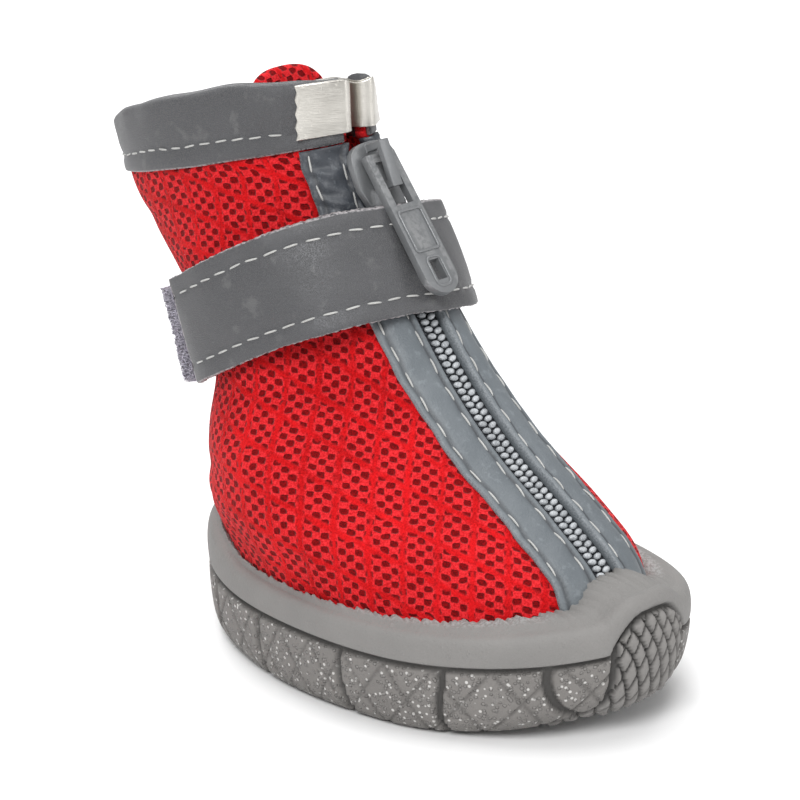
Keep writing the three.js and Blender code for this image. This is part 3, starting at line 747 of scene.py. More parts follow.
upper_rows = np.concatenate([
    np.linspace(0.3, 1.7, 10, endpoint=False),
    np.linspace(1.7, 10.0, UPPER_ROWS_SHOWN - 10),
])
slit = np.where(
    upper_rows < COLLAR_ROW,
    SLIT_HALF * smooth_step(SLIT_FROM_ROW - 0.35, SLIT_FROM_ROW, upper_rows) + 0.02,
    COLLAR_SLIT_HALF,
)
slit_angle = angle_at(upper_rows, slit[:, None])[:, 0]
share = np.linspace(0, 1, UPPER_COLUMNS)
upper_angles = slit_angle[:, None] + (2 * np.pi - 2 * slit_angle[:, None]) * share[None, :]
row_grid = np.broadcast_to(upper_rows[:, None], upper_angles.shape)
signed_angles = np.arctan2(np.sin(upper_angles), np.cos(upper_angles))
swell = fabric_swell(row_grid, signed_angles)
outer_skin = upper_at(row_grid, upper_angles, swell)
inner_skin = upper_at(row_grid, upper_angles, swell * 0.6 - WALL)


def shell(outer, inner):
    """Points and faces of a sheet between two grids, closed at all four edges."""
    rows, columns = outer.shape[:2]
    points = np.concatenate([outer.reshape(-1, 3), inner.reshape(-1, 3)])
    at = np.arange(rows * columns).reshape(rows, columns)
    under = at + rows * columns
    quads = [
        np.stack([at[:-1, :-1], at[:-1, 1:], at[1:, 1:], at[1:, :-1]], -1),
        np.stack([under[:-1, :-1], under[1:, :-1], under[1:, 1:], under[:-1, 1:]], -1),
    ]
    for edge, below in ((at[0], under[0]), (at[:, -1], under[:, -1]),
                        (at[-1][::-1], under[-1][::-1]), (at[::-1, 0], under[::-1, 0])):
        quads.append(np.stack([edge[:-1], below[:-1], below[1:], edge[1:]], -1))
    return points, np.concatenate([q.reshape(-1, 4) for q in quads]).tolist()


def lengths(grid, axis):
    """Distance run along one axis of a grid, from its start."""
    steps = np.linalg.norm(np.diff(grid, axis=axis), axis=-1)
    pad = [(0, 0), (0, 0)]
    pad[axis] = (1, 0)
    return np.pad(np.cumsum(steps, axis), pad)


def laid_flat(skin, rows=30, columns=56, rounds=25):
    """Where each point of a bent sheet lies when it is laid flat with the least stretch."""
    picked = [np.linspace(0, n - 1, k).round().astype(int) for n, k in zip(skin.shape, (rows, columns))]
    coarse = skin[np.ix_(*picked)]
    at = np.arange(rows * columns).reshape(rows, columns)
    a, b, c, d = (v.ravel() for v in (at[:-1, :-1], at[:-1, 1:], at[1:, 1:], at[1:, :-1]))
    corners = np.concatenate([np.stack([a, b, c], -1), np.stack([a, c, d], -1)])
    # each triangle in its own plane, as complex numbers
    spots = coarse.reshape(-1, 3)[corners]
    first = unit(spots[:, 1] - spots[:, 0])
    second = np.cross(unit(np.cross(first, spots[:, 2] - spots[:, 0])), first)
    from_first = spots - spots[:, :1]
    own = (from_first * first[:, None]).sum(-1) + 1j * (from_first * second[:, None]).sum(-1)
    sides = np.roll(own, -1, 1) - own
    before, after = -np.roll(sides, -1, 1), np.roll(sides, -2, 1)
    turn = after * np.conj(before)
    weight = np.clip(turn.real / np.maximum(np.abs(turn.imag), 1e-9), 0.05, 5)
    ends = np.roll(corners, -1, 1)
    links = np.zeros((rows * columns, rows * columns))
    for i, j, sign in ((corners, corners, 1), (ends, ends, 1), (corners, ends, -1), (ends, corners, -1)):
        np.add.at(links, (i.ravel(), j.ravel()), sign * weight.ravel())
    links[0, 0] += 1
    solve = np.linalg.inv(links)
    flat = (lengths(coarse, 1) + 1j * lengths(coarse, 0)).ravel()
    for _ in range(rounds):
        spun = ((flat[ends] - flat[corners]) * np.conj(sides) * weight).sum(1)
        pull = weight * sides * (spun / np.maximum(np.abs(spun), 1e-9))[:, None]
        total = np.zeros(rows * columns, complex)
        np.add.at(total, ends.ravel(), pull.ravel())
        np.add.at(total, corners.ravel(), -pull.ravel())
        flat = solve @ total
    flat = flat.reshape(rows, columns)
    across, up = np.arange(skin.shape[1]), np.arange(skin.shape[0])
    wide = np.array([np.interp(across, picked[1], row) for row in flat])
    full = np.array([np.interp(up, picked[0], column) for column in wide.T]).T
    return np.stack([full.real, full.imag], -1).reshape(-1, 2)


cloth = laid_flat(outer_skin)


def air_mesh_finish(wire):
    """Knit openings on a slanting lattice, in clusters with plain knit between them."""
    spot = wire.place()
    across = wire.make("ShaderNodeSeparateXYZ", {}, {0: wire.attribute("cloth", 1)})
    up = Wire(wire.tree, across.socket.node.outputs[1])
    stray, stray_b = wire.noise(spot, 2.6, 2.0) - 0.5, wire.noise(spot, 1.7, 2.0) - 0.5
    # steps along the two slanting rows of openings, 1.8 and 1.6 mm from one to the next
    step_a = across * 0.403 - up * 0.417 + stray * 0.55
    step_b = (across * 0.330 + up * 0.568) * -1 + stray_b * 0.5
    turn_a, turn_b = step_a * (2 * math.pi), step_b * (2 * math.pi)
    lattice = wire.math("COSINE", turn_a) + wire.math("COSINE", turn_b)
    c = (step_a - step_b) * (2 * math.pi / 4)
    d = (step_a * (1 / 12) + step_b * (1 / 4)) * (2 * math.pi)
    cluster = wire.math("MINIMUM", wire.math("COSINE", c), wire.math("COSINE", d))
    open_here = (cluster + stray_b * 0.5).rise(-1.02, -0.74)
    hole = lattice.rise(-0.10, 0.85) * open_here
    knit = wire.noise(spot, 0.30, 3.0, 0.65)
    cloudy = wire.noise(spot, 12.0, 3.0)
    shade = (knit * 0.6 + cloudy * 0.4).rise(0.32, 0.66)
    plain = shade.blend((0.30, 0.001, 0.002), (0.66, 0.007, 0.010))
    threads = knit.rise(0.3, 0.7).blend((0.46, 0.005, 0.008), (0.80, 0.034, 0.042))
    lit = (open_here * 0.8).blend(plain, threads)
    # The openings are painted near black red: painted shade inside the holes.
    depth = knit.rise(0.3, 0.7).blend((0.09, 0.0, 0.001), (0.24, 0.001, 0.002))
    return {
        "Base Color": hole.blend(lit, depth),
        "Roughness": knit * 0.15 + 0.75,
        "Normal": wire.bump((1 - hole) * 0.75 + knit * 0.25, 0.5),
    }


air_mesh = finish_of(
    "air_mesh", air_mesh_finish, Specular_IOR_Level=0.1, Sheen_Weight=0.04, Sheen_Roughness=0.5,
)
piece_from(
    "mesh_upper", shell(outer_skin, inner_skin), air_mesh, "mesh_red", "upper",
    {"cloth": np.concatenate([cloth, cloth])},
)


# ---------- tongue ----------
# A folded gusset of the same mesh behind the zip. Its top stands up in a round dome.

TONGUE_FROM, TONGUE_SIDE_TOP, TONGUE_DOME_TOP = 2.3, 9.85, 10.33
TONGUE_LOW_ANGLE, TONGUE_TOP_ANGLE = 0.42, 1.1
TONGUE_LOW_GAP, TONGUE_TOP_GAP, TONGUE_LOW_BOW, TONGUE_TOP_BOW = 0.6, 1.7, 0.6, 0.8
TONGUE_HALF_THICK = 0.75


def tongue_point(height, across, depth):
    dome = (1 - np.abs(across) ** 2.6) ** 0.5
    top = TONGUE_SIDE_TOP + (TONGUE_DOME_TOP - TONGUE_SIDE_TOP) * dome
    row = TONGUE_FROM + (top - TONGUE_FROM) * height
    angle = TONGUE_LOW_ANGLE + (TONGUE_TOP_ANGLE - TONGUE_LOW_ANGLE) * height
    gap = TONGUE_LOW_GAP + (TONGUE_TOP_GAP - TONGUE_LOW_GAP) * height
    edge = upper_at(row, -angle, -WALL - gap)
    front_y, front_z, back_y, back_z = np.moveaxis(along_table(UPPER_ROWS, row), -1, 0)[:4]
    zero = np.zeros_like(front_y)
    backwards = unit(np.stack([zero, back_y - front_y, back_z - front_z], -1))
    bow = (TONGUE_LOW_BOW + (TONGUE_TOP_BOW - TONGUE_LOW_BOW) * height) * (1 - across**2)
    edge[..., 0] *= -across
    return edge + backwards * (bow + depth)[..., None]


tongue_heights, tongue_across = np.meshgrid(
    np.linspace(0, 1, 120), np.linspace(-1, 1, 60), indexing="ij",
)
rim = np.clip((1 - tongue_heights) / 0.02, 0, 1)
plump = np.sqrt(np.clip(1 - (1 - rim) ** 2, 0, 1))
ripple = 0.25 * np.sin(tongue_heights * 34) * np.sin(tongue_across * 3 + 0.5)
tongue_front, tongue_back = (
    tongue_point(
        tongue_heights, tongue_across,
        TONGUE_HALF_THICK + side * TONGUE_HALF_THICK * plump + ripple * 0.5,
    )
    for side in (-1, 1)
)
tongue_cloth = laid_flat(tongue_front, 20, 12)
piece_from(
    "mesh_tongue", shell(tongue_front, tongue_back), air_mesh, "mesh_red", "tongue",
    {"cloth": np.concatenate([tongue_cloth, tongue_cloth])},
)


# ---------- zip facings ----------
# Strips of smooth coated gray fabric folded over the cut edges of the mesh, from the toe to
# the collar. Each is sewn down with a row of white stitches beside either edge.

FACING_INNER, FACING_OUTER = 2.55, 9.7
FACING_FROM_ROW, FACING_TO_ROW = 1.75, 8.99
FACING_STATIONS = 230
STITCH_ROWS = (3.75, 8.35)  # distances from the front's middle line
# the section of a folded strip: share of its width, and height above the mesh
FACING_SECTION = np.array([
    (0.00, -1.15), (0.00, -0.4), (-0.01, 0.3), (0.01, 0.85), (0.05, 1.12), (0.10, 1.08),
    (0.16, 0.78), (0.21, 0.86), (0.30, 1.06), (0.45, 1.12), (0.60, 1.08), (0.72, 0.98),
    (0.79, 0.76), (0.83, 0.74), (0.88, 0.90), (0.94, 0.92), (0.985, 0.7), (1.0, 0.3),
    (0.99, -0.1), (0.75, -0.2), (0.5, -0.2), (0.25, -0.3), (0.1, -0.6), (0.05, -1.1),
])
STITCH_PITCH = 4.7

facing_rows = np.linspace(FACING_FROM_ROW, FACING_TO_ROW, FACING_STATIONS)


def facing_height(rows, widths, heights, hand):
    """The strip's heights with the puckers that its stitches draw in it."""
    run = (rows - FACING_FROM_ROW) * 10.5
    pull_in = np.cos(2 * np.pi * run / STITCH_PITCH + hand)
    at_stitch = np.exp(-(((widths - 0.17) / 0.07) ** 2)) + np.exp(-(((widths - 0.81) / 0.07) ** 2))
    loose = np.exp(-(((widths - 0.48) / 0.2) ** 2))
    crumple = smooth_step(6.9, 7.4, rows) * (
        0.22 * np.sin(run * 1.15 + widths * 7 + hand) + 0.16 * np.sin(run * 2.3 - widths * 9)
    )
    ease = 0.12 * np.sin(run * 0.52 + hand * 2) + 0.08 * np.sin(run * 1.4 + widths * 5)
    top = heights > 0.5
    return heights + top * (0.09 * pull_in * at_stitch + loose * ease + crumple * (0.4 + loose))


def facing_finish(wire):
    spot = wire.place()
    mottle = wire.noise(spot, 6.0, 4.0)
    grain = wire.noise(spot, 0.28, 3.0, 0.6)
    crease = wire.noise(spot, 1.6, 4.0, 0.65)
    upper_part = wire.attribute("crumpled")
    rubbed = wire.attribute("edge") * grain.rise(0.35, 0.6)
    seam = wire.attribute("seam")
    base = mottle.blend((0.095, 0.110, 0.122), (0.160, 0.178, 0.192))
    # The crumpled part above the strap is painted much darker: painted shade in its crumples.
    crumple_shaded = (upper_part * 0.85).blend(base, (0.030, 0.034, 0.044))
    creased = (crease.rise(0.54, 0.68) * 0.25).blend(crumple_shaded, (0.27, 0.30, 0.32))
    # Dark lines along the stitch rows: painted shadow of the stitches.
    with_stitch_shadow = (seam * 0.85).blend(creased, (0.030, 0.032, 0.036))
    return {
        "Base Color": (rubbed * 0.4).blend(with_stitch_shadow, (0.36, 0.38, 0.40)),
        "Roughness": mottle * 0.16 + 0.36,
        "Normal": wire.bump(crease * 0.7 + grain * 0.3, 0.22),
    }


facing_fabric = finish_of("facing_fabric", facing_finish, Specular_IOR_Level=0.45)


def thread_finish(wire):
    spot = wire.place()
    ply = wire.noise(spot, 0.22, 2.0, 0.6)
    soil = wire.noise(spot, 3.0, 3.0)
    return {
        "Base Color": (ply * 0.5 + soil * 0.5).blend((0.25, 0.25, 0.245), (0.66, 0.66, 0.64)),
        "Roughness": soil * 0.2 + 0.55,
        "Normal": wire.bump(ply, 0.1),
    }


thread = finish_of("thread", thread_finish, Specular_IOR_Level=0.3)
THREAD_RADIUS = 0.175


def stitch_row(line, out, pitch, length, seed):
    """Points and faces of a row of stitches laid along a line on a surface."""
    chance = random.Random(seed)
    run = np.concatenate([[0], np.cumsum(np.linalg.norm(np.diff(line, axis=0), axis=1))])
    points, faces = [], []
    start = pitch * 0.4
    while start + length < run[-1]:
        rings = []
        drift = chance.uniform(-0.12, 0.12)
        for t in np.linspace(0, 1, 8):
            at = start + length * t
            middle = np.array([np.interp(at, run, line[:, k]) for k in range(3)])
            up = unit(np.array([np.interp(at, run, out[:, k]) for k in range(3)]))
            ahead = np.array([np.interp(at + 0.05, run, line[:, k]) for k in range(3)])
            behind = np.array([np.interp(at - 0.05, run, line[:, k]) for k in range(3)])
            forward = unit(ahead - behind)
            side = np.cross(up, forward)
            arch = math.sin(math.pi * t)
            radius = THREAD_RADIUS * (0.55 + 0.45 * arch**0.4)
            core = middle + up * (0.20 * arch**0.6 - 0.12) + side * drift * (2 * t - 1)
            turns = np.linspace(0, 2 * np.pi, 7)[:-1]
            rings.append([core + radius * (side * math.cos(w) + up * math.sin(w)) for w in turns])
        ring_points, ring_face_list = capped(rings)
        faces += [[f + len(points) for f in face] for face in ring_face_list]
        points += ring_points.tolist()
        start += pitch * chance.uniform(0.94, 1.06)
    return points, faces


def joined(forms):
    """Several forms as one."""
    points, faces = [], []
    for more_points, more_faces in forms:
        faces += [[f + len(points) for f in face] for face in more_faces]
        points += list(more_points)
    return points, faces


facing_stitches = []
for hand, side_name in ((-1, "right"), (1, "left")):
    widths = FACING_INNER + (FACING_OUTER - FACING_INNER) * FACING_SECTION[:, 0]
    wobble = 0.12 * np.sin(facing_rows * 5.3 + hand) + 0.07 * np.sin(facing_rows * 13 + 2)
    distances = hand * (widths[None, :] + wobble[:, None] * (FACING_SECTION[None, :, 0] > 0.5))
    narrowing = smooth_step(8.75, 9.0, facing_rows)[:, None] * 0.6
    distances = distances - hand * narrowing * (FACING_SECTION[None, :, 0] < 0.3)
    angles = angle_at(facing_rows, distances)
    rows = np.broadcast_to(facing_rows[:, None], angles.shape)
    shares_wide = np.broadcast_to(FACING_SECTION[None, :, 0], angles.shape)
    heights = facing_height(rows, shares_wide, FACING_SECTION[None, :, 1], hand)
    sections = upper_at(rows, angles, heights)
    around = len(FACING_SECTION)
    edge = np.clip(np.abs(shares_wide - 0.5) * 2 - 0.86, 0, 0.14) / 0.14 * (heights > 0.2)
    # Where the strip is painted dark along its stitch rows, as painted shadow of the stitches.
    beside = np.minimum(np.abs(shares_wide - 0.165), np.abs(shares_wide - 0.81))
    stitch_shadow_line = np.exp(-((beside / 0.034) ** 2)) * (heights > 0.2)
    piece_from(
        f"facing_{side_name}", capped(sections), facing_fabric, "facing_gray",
        f"zip_facing_{side_name}",
        {
            "edge": ring_values(edge, around),
            "crumpled": ring_values(smooth_step(6.6, 7.2, facing_rows), around),
            "seam": ring_values(stitch_shadow_line, around),
        },
    )
    for place in STITCH_ROWS:
        stitch_rows = np.linspace(FACING_FROM_ROW + 0.35, FACING_TO_ROW - 0.05, 400)
        stitch_angles = angle_at(stitch_rows, np.full((400, 1), hand * place))[:, 0]
        share_at = (place - FACING_INNER) / (FACING_OUTER - FACING_INNER)
        lift = np.interp(share_at, FACING_SECTION[:16, 0], FACING_SECTION[:16, 1])
        tall = facing_height(stitch_rows, np.full(400, share_at), np.full(400, lift), hand)
        line = upper_at(stitch_rows, stitch_angles, tall)
        out = outward(upper_point, stitch_rows, stitch_angles)
        facing_stitches.append(stitch_row(line, out, STITCH_PITCH, 2.8, int(place * 10) + hand))
piece_from("facing_stitches", joined(facing_stitches), thread, "thread")


# ---------- zip chain ----------
# A moulded coil on two woven tapes: two rows of small gray beads that meet along the middle.

CHAIN_TO_ROW = 8.36
TAPE_HALF, TAPE_HIGH, TAPE_LOW = 2.62, -0.55, -1.2
BEAD_PITCH, BEAD_ACROSS = 1.22, 0.86
BEAD_RADII = (0.80, 0.50, 0.52)  # across, along and outwards

tape_rows = np.linspace(FACING_FROM_ROW, CHAIN_TO_ROW, 150)
tape_section = [(-1, TAPE_LOW), (1, TAPE_LOW), (1, TAPE_HIGH), (0.5, TAPE_HIGH + 0.1), (0, TAPE_HIGH),
                (-0.5, TAPE_HIGH + 0.1), (-1, TAPE_HIGH)]
tape_distances = np.array([[TAPE_HALF * across for across, _ in tape_section]] * len(tape_rows))
tape_angles = angle_at(tape_rows, tape_distances)
tape_heights = np.array([[high for _, high in tape_section]] * len(tape_rows))
tape_grid_rows = np.broadcast_to(tape_rows[:, None], tape_angles.shape)


def zip_tape_finish(wire):
    spot = wire.place()
    rib = wire.make(
        "ShaderNodeTexWave", {"bands_direction": "Z"},
        {"Vector": spot, "Scale": 0.5, "Distortion": 1.0, "Detail": 2.0},
    )
    mottle = wire.noise(spot, 4.0, 3.0)
    return {
        "Base Color": (rib * 0.6 + mottle * 0.4).blend((0.02, 0.022, 0.026), (0.075, 0.08, 0.09)),
        "Roughness": mottle * 0.1 + 0.8,
        "Normal": wire.bump(rib, 0.2),
    }


piece_from(
    "zip_tape", capped(upper_at(tape_grid_rows, tape_angles, tape_heights)),
    finish_of("zip_tape", zip_tape_finish, Specular_IOR_Level=0.2), "coil_gray", "zip_chain",
)


def bead(centre, across, along, out, radii, steps=(6, 9)):
    """A small rounded bead."""
    rings = []
    for lift in np.linspace(-0.94, 0.94, steps[0]):
        spread = math.sqrt(1 - lift * lift)
        turns = np.linspace(0, 2 * np.pi, steps[1] + 1)[:-1]
        rings.append([
            centre + across * radii[0] * spread * math.cos(w) + along * radii[1] * spread * math.sin(w)
            + out * radii[2] * lift
            for w in turns
        ])
    return capped(rings)


front_rows = np.linspace(FACING_FROM_ROW, CHAIN_TO_ROW, 900)
front_line = upper_point(front_rows, np.zeros(900))
front_out = outward(upper_point, front_rows, np.zeros(900))
front_run = np.concatenate([[0], np.cumsum(np.linalg.norm(np.diff(front_line, axis=0), axis=1))])


def on_front(run):
    """The place, up direction and outward direction at a distance along the zip."""
    middle = np.array([np.interp(run, front_run, front_line[:, k]) for k in range(3)])
    out = unit(np.array([np.interp(run, front_run, front_out[:, k]) for k in range(3)]))
    return middle, unit(np.cross(out, np.array([1.0, 0, 0]))), out


beads = []
bead_run = 0.8
while bead_run < front_run[-1]:
    for hand in (-1, 1):
        middle, up, out = on_front(bead_run + (0.25 * BEAD_PITCH if hand > 0 else -0.25 * BEAD_PITCH))
        across = np.array([1.0, 0, 0])
        slant = unit(across + up * 0.22 * hand)
        along = np.cross(out, slant)
        centre = middle + across * hand * BEAD_ACROSS - out * 0.02
        beads.append(bead(centre, slant, along, out, BEAD_RADII))
    bead_run += BEAD_PITCH


def coil_finish(wire):
    spot = wire.place()
    mottle = wire.noise(spot, 2.0, 3.0)
    fine = wire.noise(spot, 0.25, 2.0)
    shade = (mottle * 0.6 + fine * 0.4).rise(0.35, 0.65)
    return {
        "Base Color": shade.blend((0.26, 0.275, 0.29), (0.50, 0.52, 0.54)),
        "Roughness": mottle * 0.2 + 0.25,
        "Normal": wire.bump(fine, 0.05),
    }


piece_from(
    "zip_coil", joined(beads), finish_of("zip_coil", coil_finish, Coat_Weight=0.2), "coil_gray",
)


# ---------- collar band ----------
# Gray reflective tape folded over the rim of the mesh and sewn through near its lower edge.

BAND_FROM = 9.02
BAND_START = 2.7
BAND_STATIONS = 300
BAND_STITCH = 9.34
# row and height above the mesh, from the lower edge outside, over the rim, down inside
BAND_SECTION = np.array([
    (9.02, 0.05), (9.02, 0.55), (9.05, 0.80), (9.12, 0.86), (9.22, 0.78), (9.30, 0.58),
    (9.36, 0.56), (9.44, 0.76), (9.58, 0.98), (9.75, 1.02), (9.92, 1.02), (10.04, 0.96),
    (10.10, 0.66), (10.14, 0.1), (10.155, -0.8), (10.14, -1.7), (10.10, -2.3), (10.0, -2.55),
    (9.7, -2.6), (9.36, -2.3), (9.1, -2.5), (9.02, -2.4), (9.03, -1.7), (9.5, -1.68),
    (9.98, -1.62), (10.02, -0.8), (9.98, 0.02), (9.5, 0.04),
])


def reflective_finish(wire):
    spot = wire.place()
    mottle = wire.noise(spot, 9.0, 4.0)
    beads_fine = wire.cells(spot, 0.16).rise(0.1, 0.6)
    crease = wire.noise(spot, 3.4, 4.0, 0.6)
    rubbed = wire.attribute("edge") * wire.noise(spot, 0.5, 3.0).rise(0.36, 0.55)
    base = mottle.blend((0.060, 0.061, 0.065), (0.092, 0.093, 0.099))
    sparkled = (beads_fine * 0.6 + 0.4).blend((0.16, 0.16, 0.16), base)
    scuffed = (crease.rise(0.58, 0.72) * 0.22).blend(sparkled, (0.25, 0.25, 0.245))
    return {
        "Base Color": (rubbed * 0.75).blend(scuffed, (0.55, 0.52, 0.53)),
        "Roughness": mottle * 0.18 + 0.38,
        "Metallic": 0.2 - rubbed * 0.15,
        "Normal": wire.bump(crease * 0.6 + beads_fine * 0.4, 0.16),
    }


reflective = finish_of("reflective_fabric", reflective_finish, Specular_IOR_Level=0.5)


def band_round(stations):
    """Sections of the band at some shares of the way round it."""
    section_rows = BAND_SECTION[:, 0]
    start = angle_at(section_rows, np.full((len(section_rows), 1), BAND_START))[:, 0]
    angles = start[None, :] + (2 * np.pi - 2 * start[None, :]) * stations[:, None]
    wave = 0.014 * np.sin(angles * 5 + 0.6) + 0.010 * np.sin(angles * 11 + 2.0)
    high = smooth_step(9.6, 10.05, section_rows)[None, :]
    rows = section_rows[None, :] + wave * (high + 0.3)
    loose = 0.16 * np.sin(angles * 7 + 1.0) + 0.09 * np.sin(angles * 19)
    heights = BAND_SECTION[None, :, 1] + loose * (np.abs(BAND_SECTION[None, :, 1] + 0.8) / 1.8) * high
    return upper_at(rows, angles, heights)


band_sections = band_round(np.linspace(0, 1, BAND_STATIONS))
band_edge = np.broadcast_to(
    (np.abs(BAND_SECTION[:, 0] - BAND_FROM) < 0.02) * (BAND_SECTION[:, 1] > 0) * 1.0,
    band_sections.shape[:2],
)
piece_from(
    "collar_tape", capped(band_sections), reflective, "reflective_gray", "collar_band",
    {"edge": ring_values(band_edge, len(BAND_SECTION))},
)
stitch_angles = np.linspace(0.62, 2 * np.pi - 0.62, 700)
band_line_rows = BAND_STITCH + 0.01 * np.sin(stitch_angles * 9)
band_line = upper_at(band_line_rows, stitch_angles, np.full(700, 0.6))
band_out = outward(upper_point, np.full(700, BAND_STITCH), stitch_angles)
piece_from("collar_stitches", stitch_row(band_line, band_out, 3.3, 2.2, 5), thread, "thread")


# ---------- collar clips ----------
# Two satin nickel clips crimped over the ends of the collar band beside the zip. Each is one
# plate folded round the band's end, with a serrated edge that bites the band.

CLIP_NEAR, CLIP_FAR = 1.0, 9.4
CLIP_FROM_ROW, CLIP_TO_ROW = 9.2, 10.15
CLIP_OUT, CLIP_IN, CLIP_PLATE = 1.78, -3.2, 0.55
CLIP_STATIONS = 60
TEETH = 4


def clip_section():
    """Distance from the near end and height, round a folded plate; near end at 0."""
    middle, reach = (CLIP_OUT + CLIP_IN) / 2, (CLIP_OUT - CLIP_IN) / 2
    turns = np.linspace(np.pi / 2, 1.5 * np.pi, 13)
    fold = 1.6
    outside = [(fold + fold * math.cos(w), middle + reach * math.sin(w)) for w in turns]
    inside = [
        (fold + (fold - CLIP_PLATE) * math.cos(w), middle + (reach - CLIP_PLATE) * math.sin(w))
        for w in turns[::-1]
    ]
    length = CLIP_FAR - CLIP_NEAR
    far_in = [(length, CLIP_IN), (length + 0.1, CLIP_IN + 0.15), (length, CLIP_IN + CLIP_PLATE)]
    far_out = [(length, CLIP_OUT - CLIP_PLATE), (length + 0.12, CLIP_OUT - 0.2), (length, CLIP_OUT)]
    return np.array([*outside, *far_in, *inside, *far_out])


def nickel_finish(wire):
    spot = wire.place()
    mottle = wire.noise(spot, 3.0, 4.0)
    brushed = wire.make(
        "ShaderNodeTexNoise", {}, {"Vector": wire.make(
            "ShaderNodeMapping", {}, {"Vector": spot, "Scale": (0.6, 0.6, 9.0)}), "Scale": 1.0,
            "Detail": 3.0},
    )
    scratch = wire.noise(spot, 0.7, 4.0, 0.7).rise(0.60, 0.70)
    return {
        "Base Color": (mottle * 0.6 + brushed * 0.4).blend((0.44, 0.42, 0.385), (0.74, 0.72, 0.67)),
        "Roughness": brushed * 0.22 + scratch * 0.2 + 0.24,
        "Normal": wire.bump(brushed * 0.7 + scratch * 0.3, 0.05),
    }


nickel = finish_of("nickel", nickel_finish, Metallic=1.0)

clip_shape = clip_section()
clip_steps = np.linspace(0, 1, CLIP_STATIONS)
for hand, side_name in ((-1, "right"), (1, "left")):
    crown = 0.16 if hand > 0 else 0.05
    far_share = smooth_step(0.55, 1.0, clip_shape[:, 0] / (CLIP_FAR - CLIP_NEAR))
    serration = 0.32 * np.abs(((clip_steps * TEETH) % 1.0) * 2 - 1) - 0.16
    distance = CLIP_NEAR + clip_shape[None, :, 0] + serration[:, None] * far_share[None, :] ** 3
    across = (distance - CLIP_NEAR) / (CLIP_FAR - CLIP_NEAR)
    top = CLIP_TO_ROW - crown * (2 * across - 1) ** 2
    rows = CLIP_FROM_ROW + (top - CLIP_FROM_ROW) * clip_steps[:, None]
    angles = np.stack([
        angle_at(rows[k], hand * distance[k][:, None])[:, 0] for k in range(CLIP_STATIONS)
    ])
    dent = 0.12 * np.sin(clip_steps[:, None] * 5 + 1) * np.exp(-((across - 0.55) / 0.25) ** 2)
    sections = upper_at(rows, angles, clip_shape[None, :, 1] - dent)
    # the plate is stamped, so its edges are slightly rounded
    plate = piece_from(
        f"crimp_clip_{side_name}", capped(sections), nickel, "nickel", f"clip_{side_name}",
    )
    soft_edge = plate.modifiers.new("rolled edges", "BEVEL")
    soft_edge.width, soft_edge.segments, soft_edge.limit_method = 0.00012, 2, "ANGLE"
    soft_edge.angle_limit = math.radians(50)


# ---------- slider and pull tab ----------
# Die-cast and painted gray. The slider's crown is round, and the pull tab hangs from a bar
# under its bridge, with an open yoke, a sunk blank panel and a slot near its round end.


def softened(name, node, width, material, body):
    """A cast copy of a plain solid: its flat faces made whole and its edges rounded."""
    shape = bmesh.new()
    shape.from_mesh(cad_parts[node].data)
    bmesh.ops.remove_doubles(shape, verts=shape.verts, dist=1e-6)
    bmesh.ops.dissolve_limit(
        shape, angle_limit=math.radians(4), verts=shape.verts, edges=shape.edges,
    )
    data = bpy.data.meshes.new(name)
    shape.to_mesh(data)
    shape.free()
    data.materials.clear()
    data.materials.append(material)
    data.polygons.foreach_set("use_smooth", [True] * len(data.polygons))
    piece = bpy.data.objects.new(name, data)
    bpy.context.scene.collection.objects.link(piece)
    rounding = piece.modifiers.new("rounded edges", "BEVEL")
    rounding.width, rounding.segments = width / 1000, 3
    rounding.limit_method, rounding.angle_limit = "ANGLE", math.radians(32)
    rounding.harden_normals = True
    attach(piece, body)
    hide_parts(node)
    return piece


def paint_finish(wire):
    spot = wire.place()
    mottle = wire.noise(spot, 3.0, 4.0)
    orange = wire.noise(spot, 0.35, 2.0)
    sharp = wire.make("ShaderNodeNewGeometry", output=7)
    worn = sharp.rise(0.56, 0.66) * wire.noise(spot, 0.8, 3.0).rise(0.35, 0.6)
    chip = wire.noise(spot, 0.9, 5.0, 0.7).rise(0.72, 0.76)
    base = mottle.blend((0.150, 0.156, 0.162), (0.200, 0.206, 0.212))
    bare = wire.math("MINIMUM", worn * 0.35 + chip * 0.3, 1.0)
    return {
        "Base Color": bare.blend(base, (0.44, 0.44, 0.44)),
        "Roughness": mottle * 0.15 + 0.33,
        "Normal": wire.bump(orange, 0.05),
    }


paint = finish_of("painted_metal", paint_finish, Metallic=0.35, Coat_Weight=0.15)
softened("cast_slider", "zip_slider", 0.32, paint, BOOT)
softened("cast_pull", "pull_tab", 0.26, paint, PULL)

# Raised rims round the pull's blank panel and its slot, on both faces.
PULL_HINGE = np.array([0, 13.964, 78.510])
PULL_LEAN = 0.668
PULL_HALF_THICK = 0.65
pull_down = np.array([0, -math.sin(PULL_LEAN), -math.cos(PULL_LEAN)])
pull_out = np.array([0, -math.cos(PULL_LEAN), math.sin(PULL_LEAN)])
pull_side = np.array([1.0, 0, 0])


def rim_of(outline, face, width=0.55, height=0.32):
    """A low rounded rim along a closed outline on a face of the pull."""
    outline = np.array(outline)
    rings = []
    count = len(outline)
    for k in range(count):
        before, after = outline[k - 1], outline[(k + 1) % count]
        ahead = unit(after - before)
        side = np.array([ahead[1], -ahead[0]])
        ring = []
        for w in np.linspace(0, np.pi, 6):
            flat = outline[k] + side * (width / 2) * math.cos(w)
            lift = PULL_HALF_THICK - 0.12 + (height + 0.12) * math.sin(w) ** 0.7
            ring.append(PULL_HINGE + pull_side * flat[0] + pull_down * flat[1] + pull_out * face * lift)
        rings.append(ring)
    rings = np.array(rings)
    points = rings.reshape(-1, 3)
    faces = []
    for k in range(count):
        for j in range(6):
            a, b = k * 6 + j, k * 6 + (j + 1) % 6
            c, d = ((k + 1) % count) * 6 + (j + 1) % 6, ((k + 1) % count) * 6 + j
            faces.append([a, b, c, d])
    return points, faces


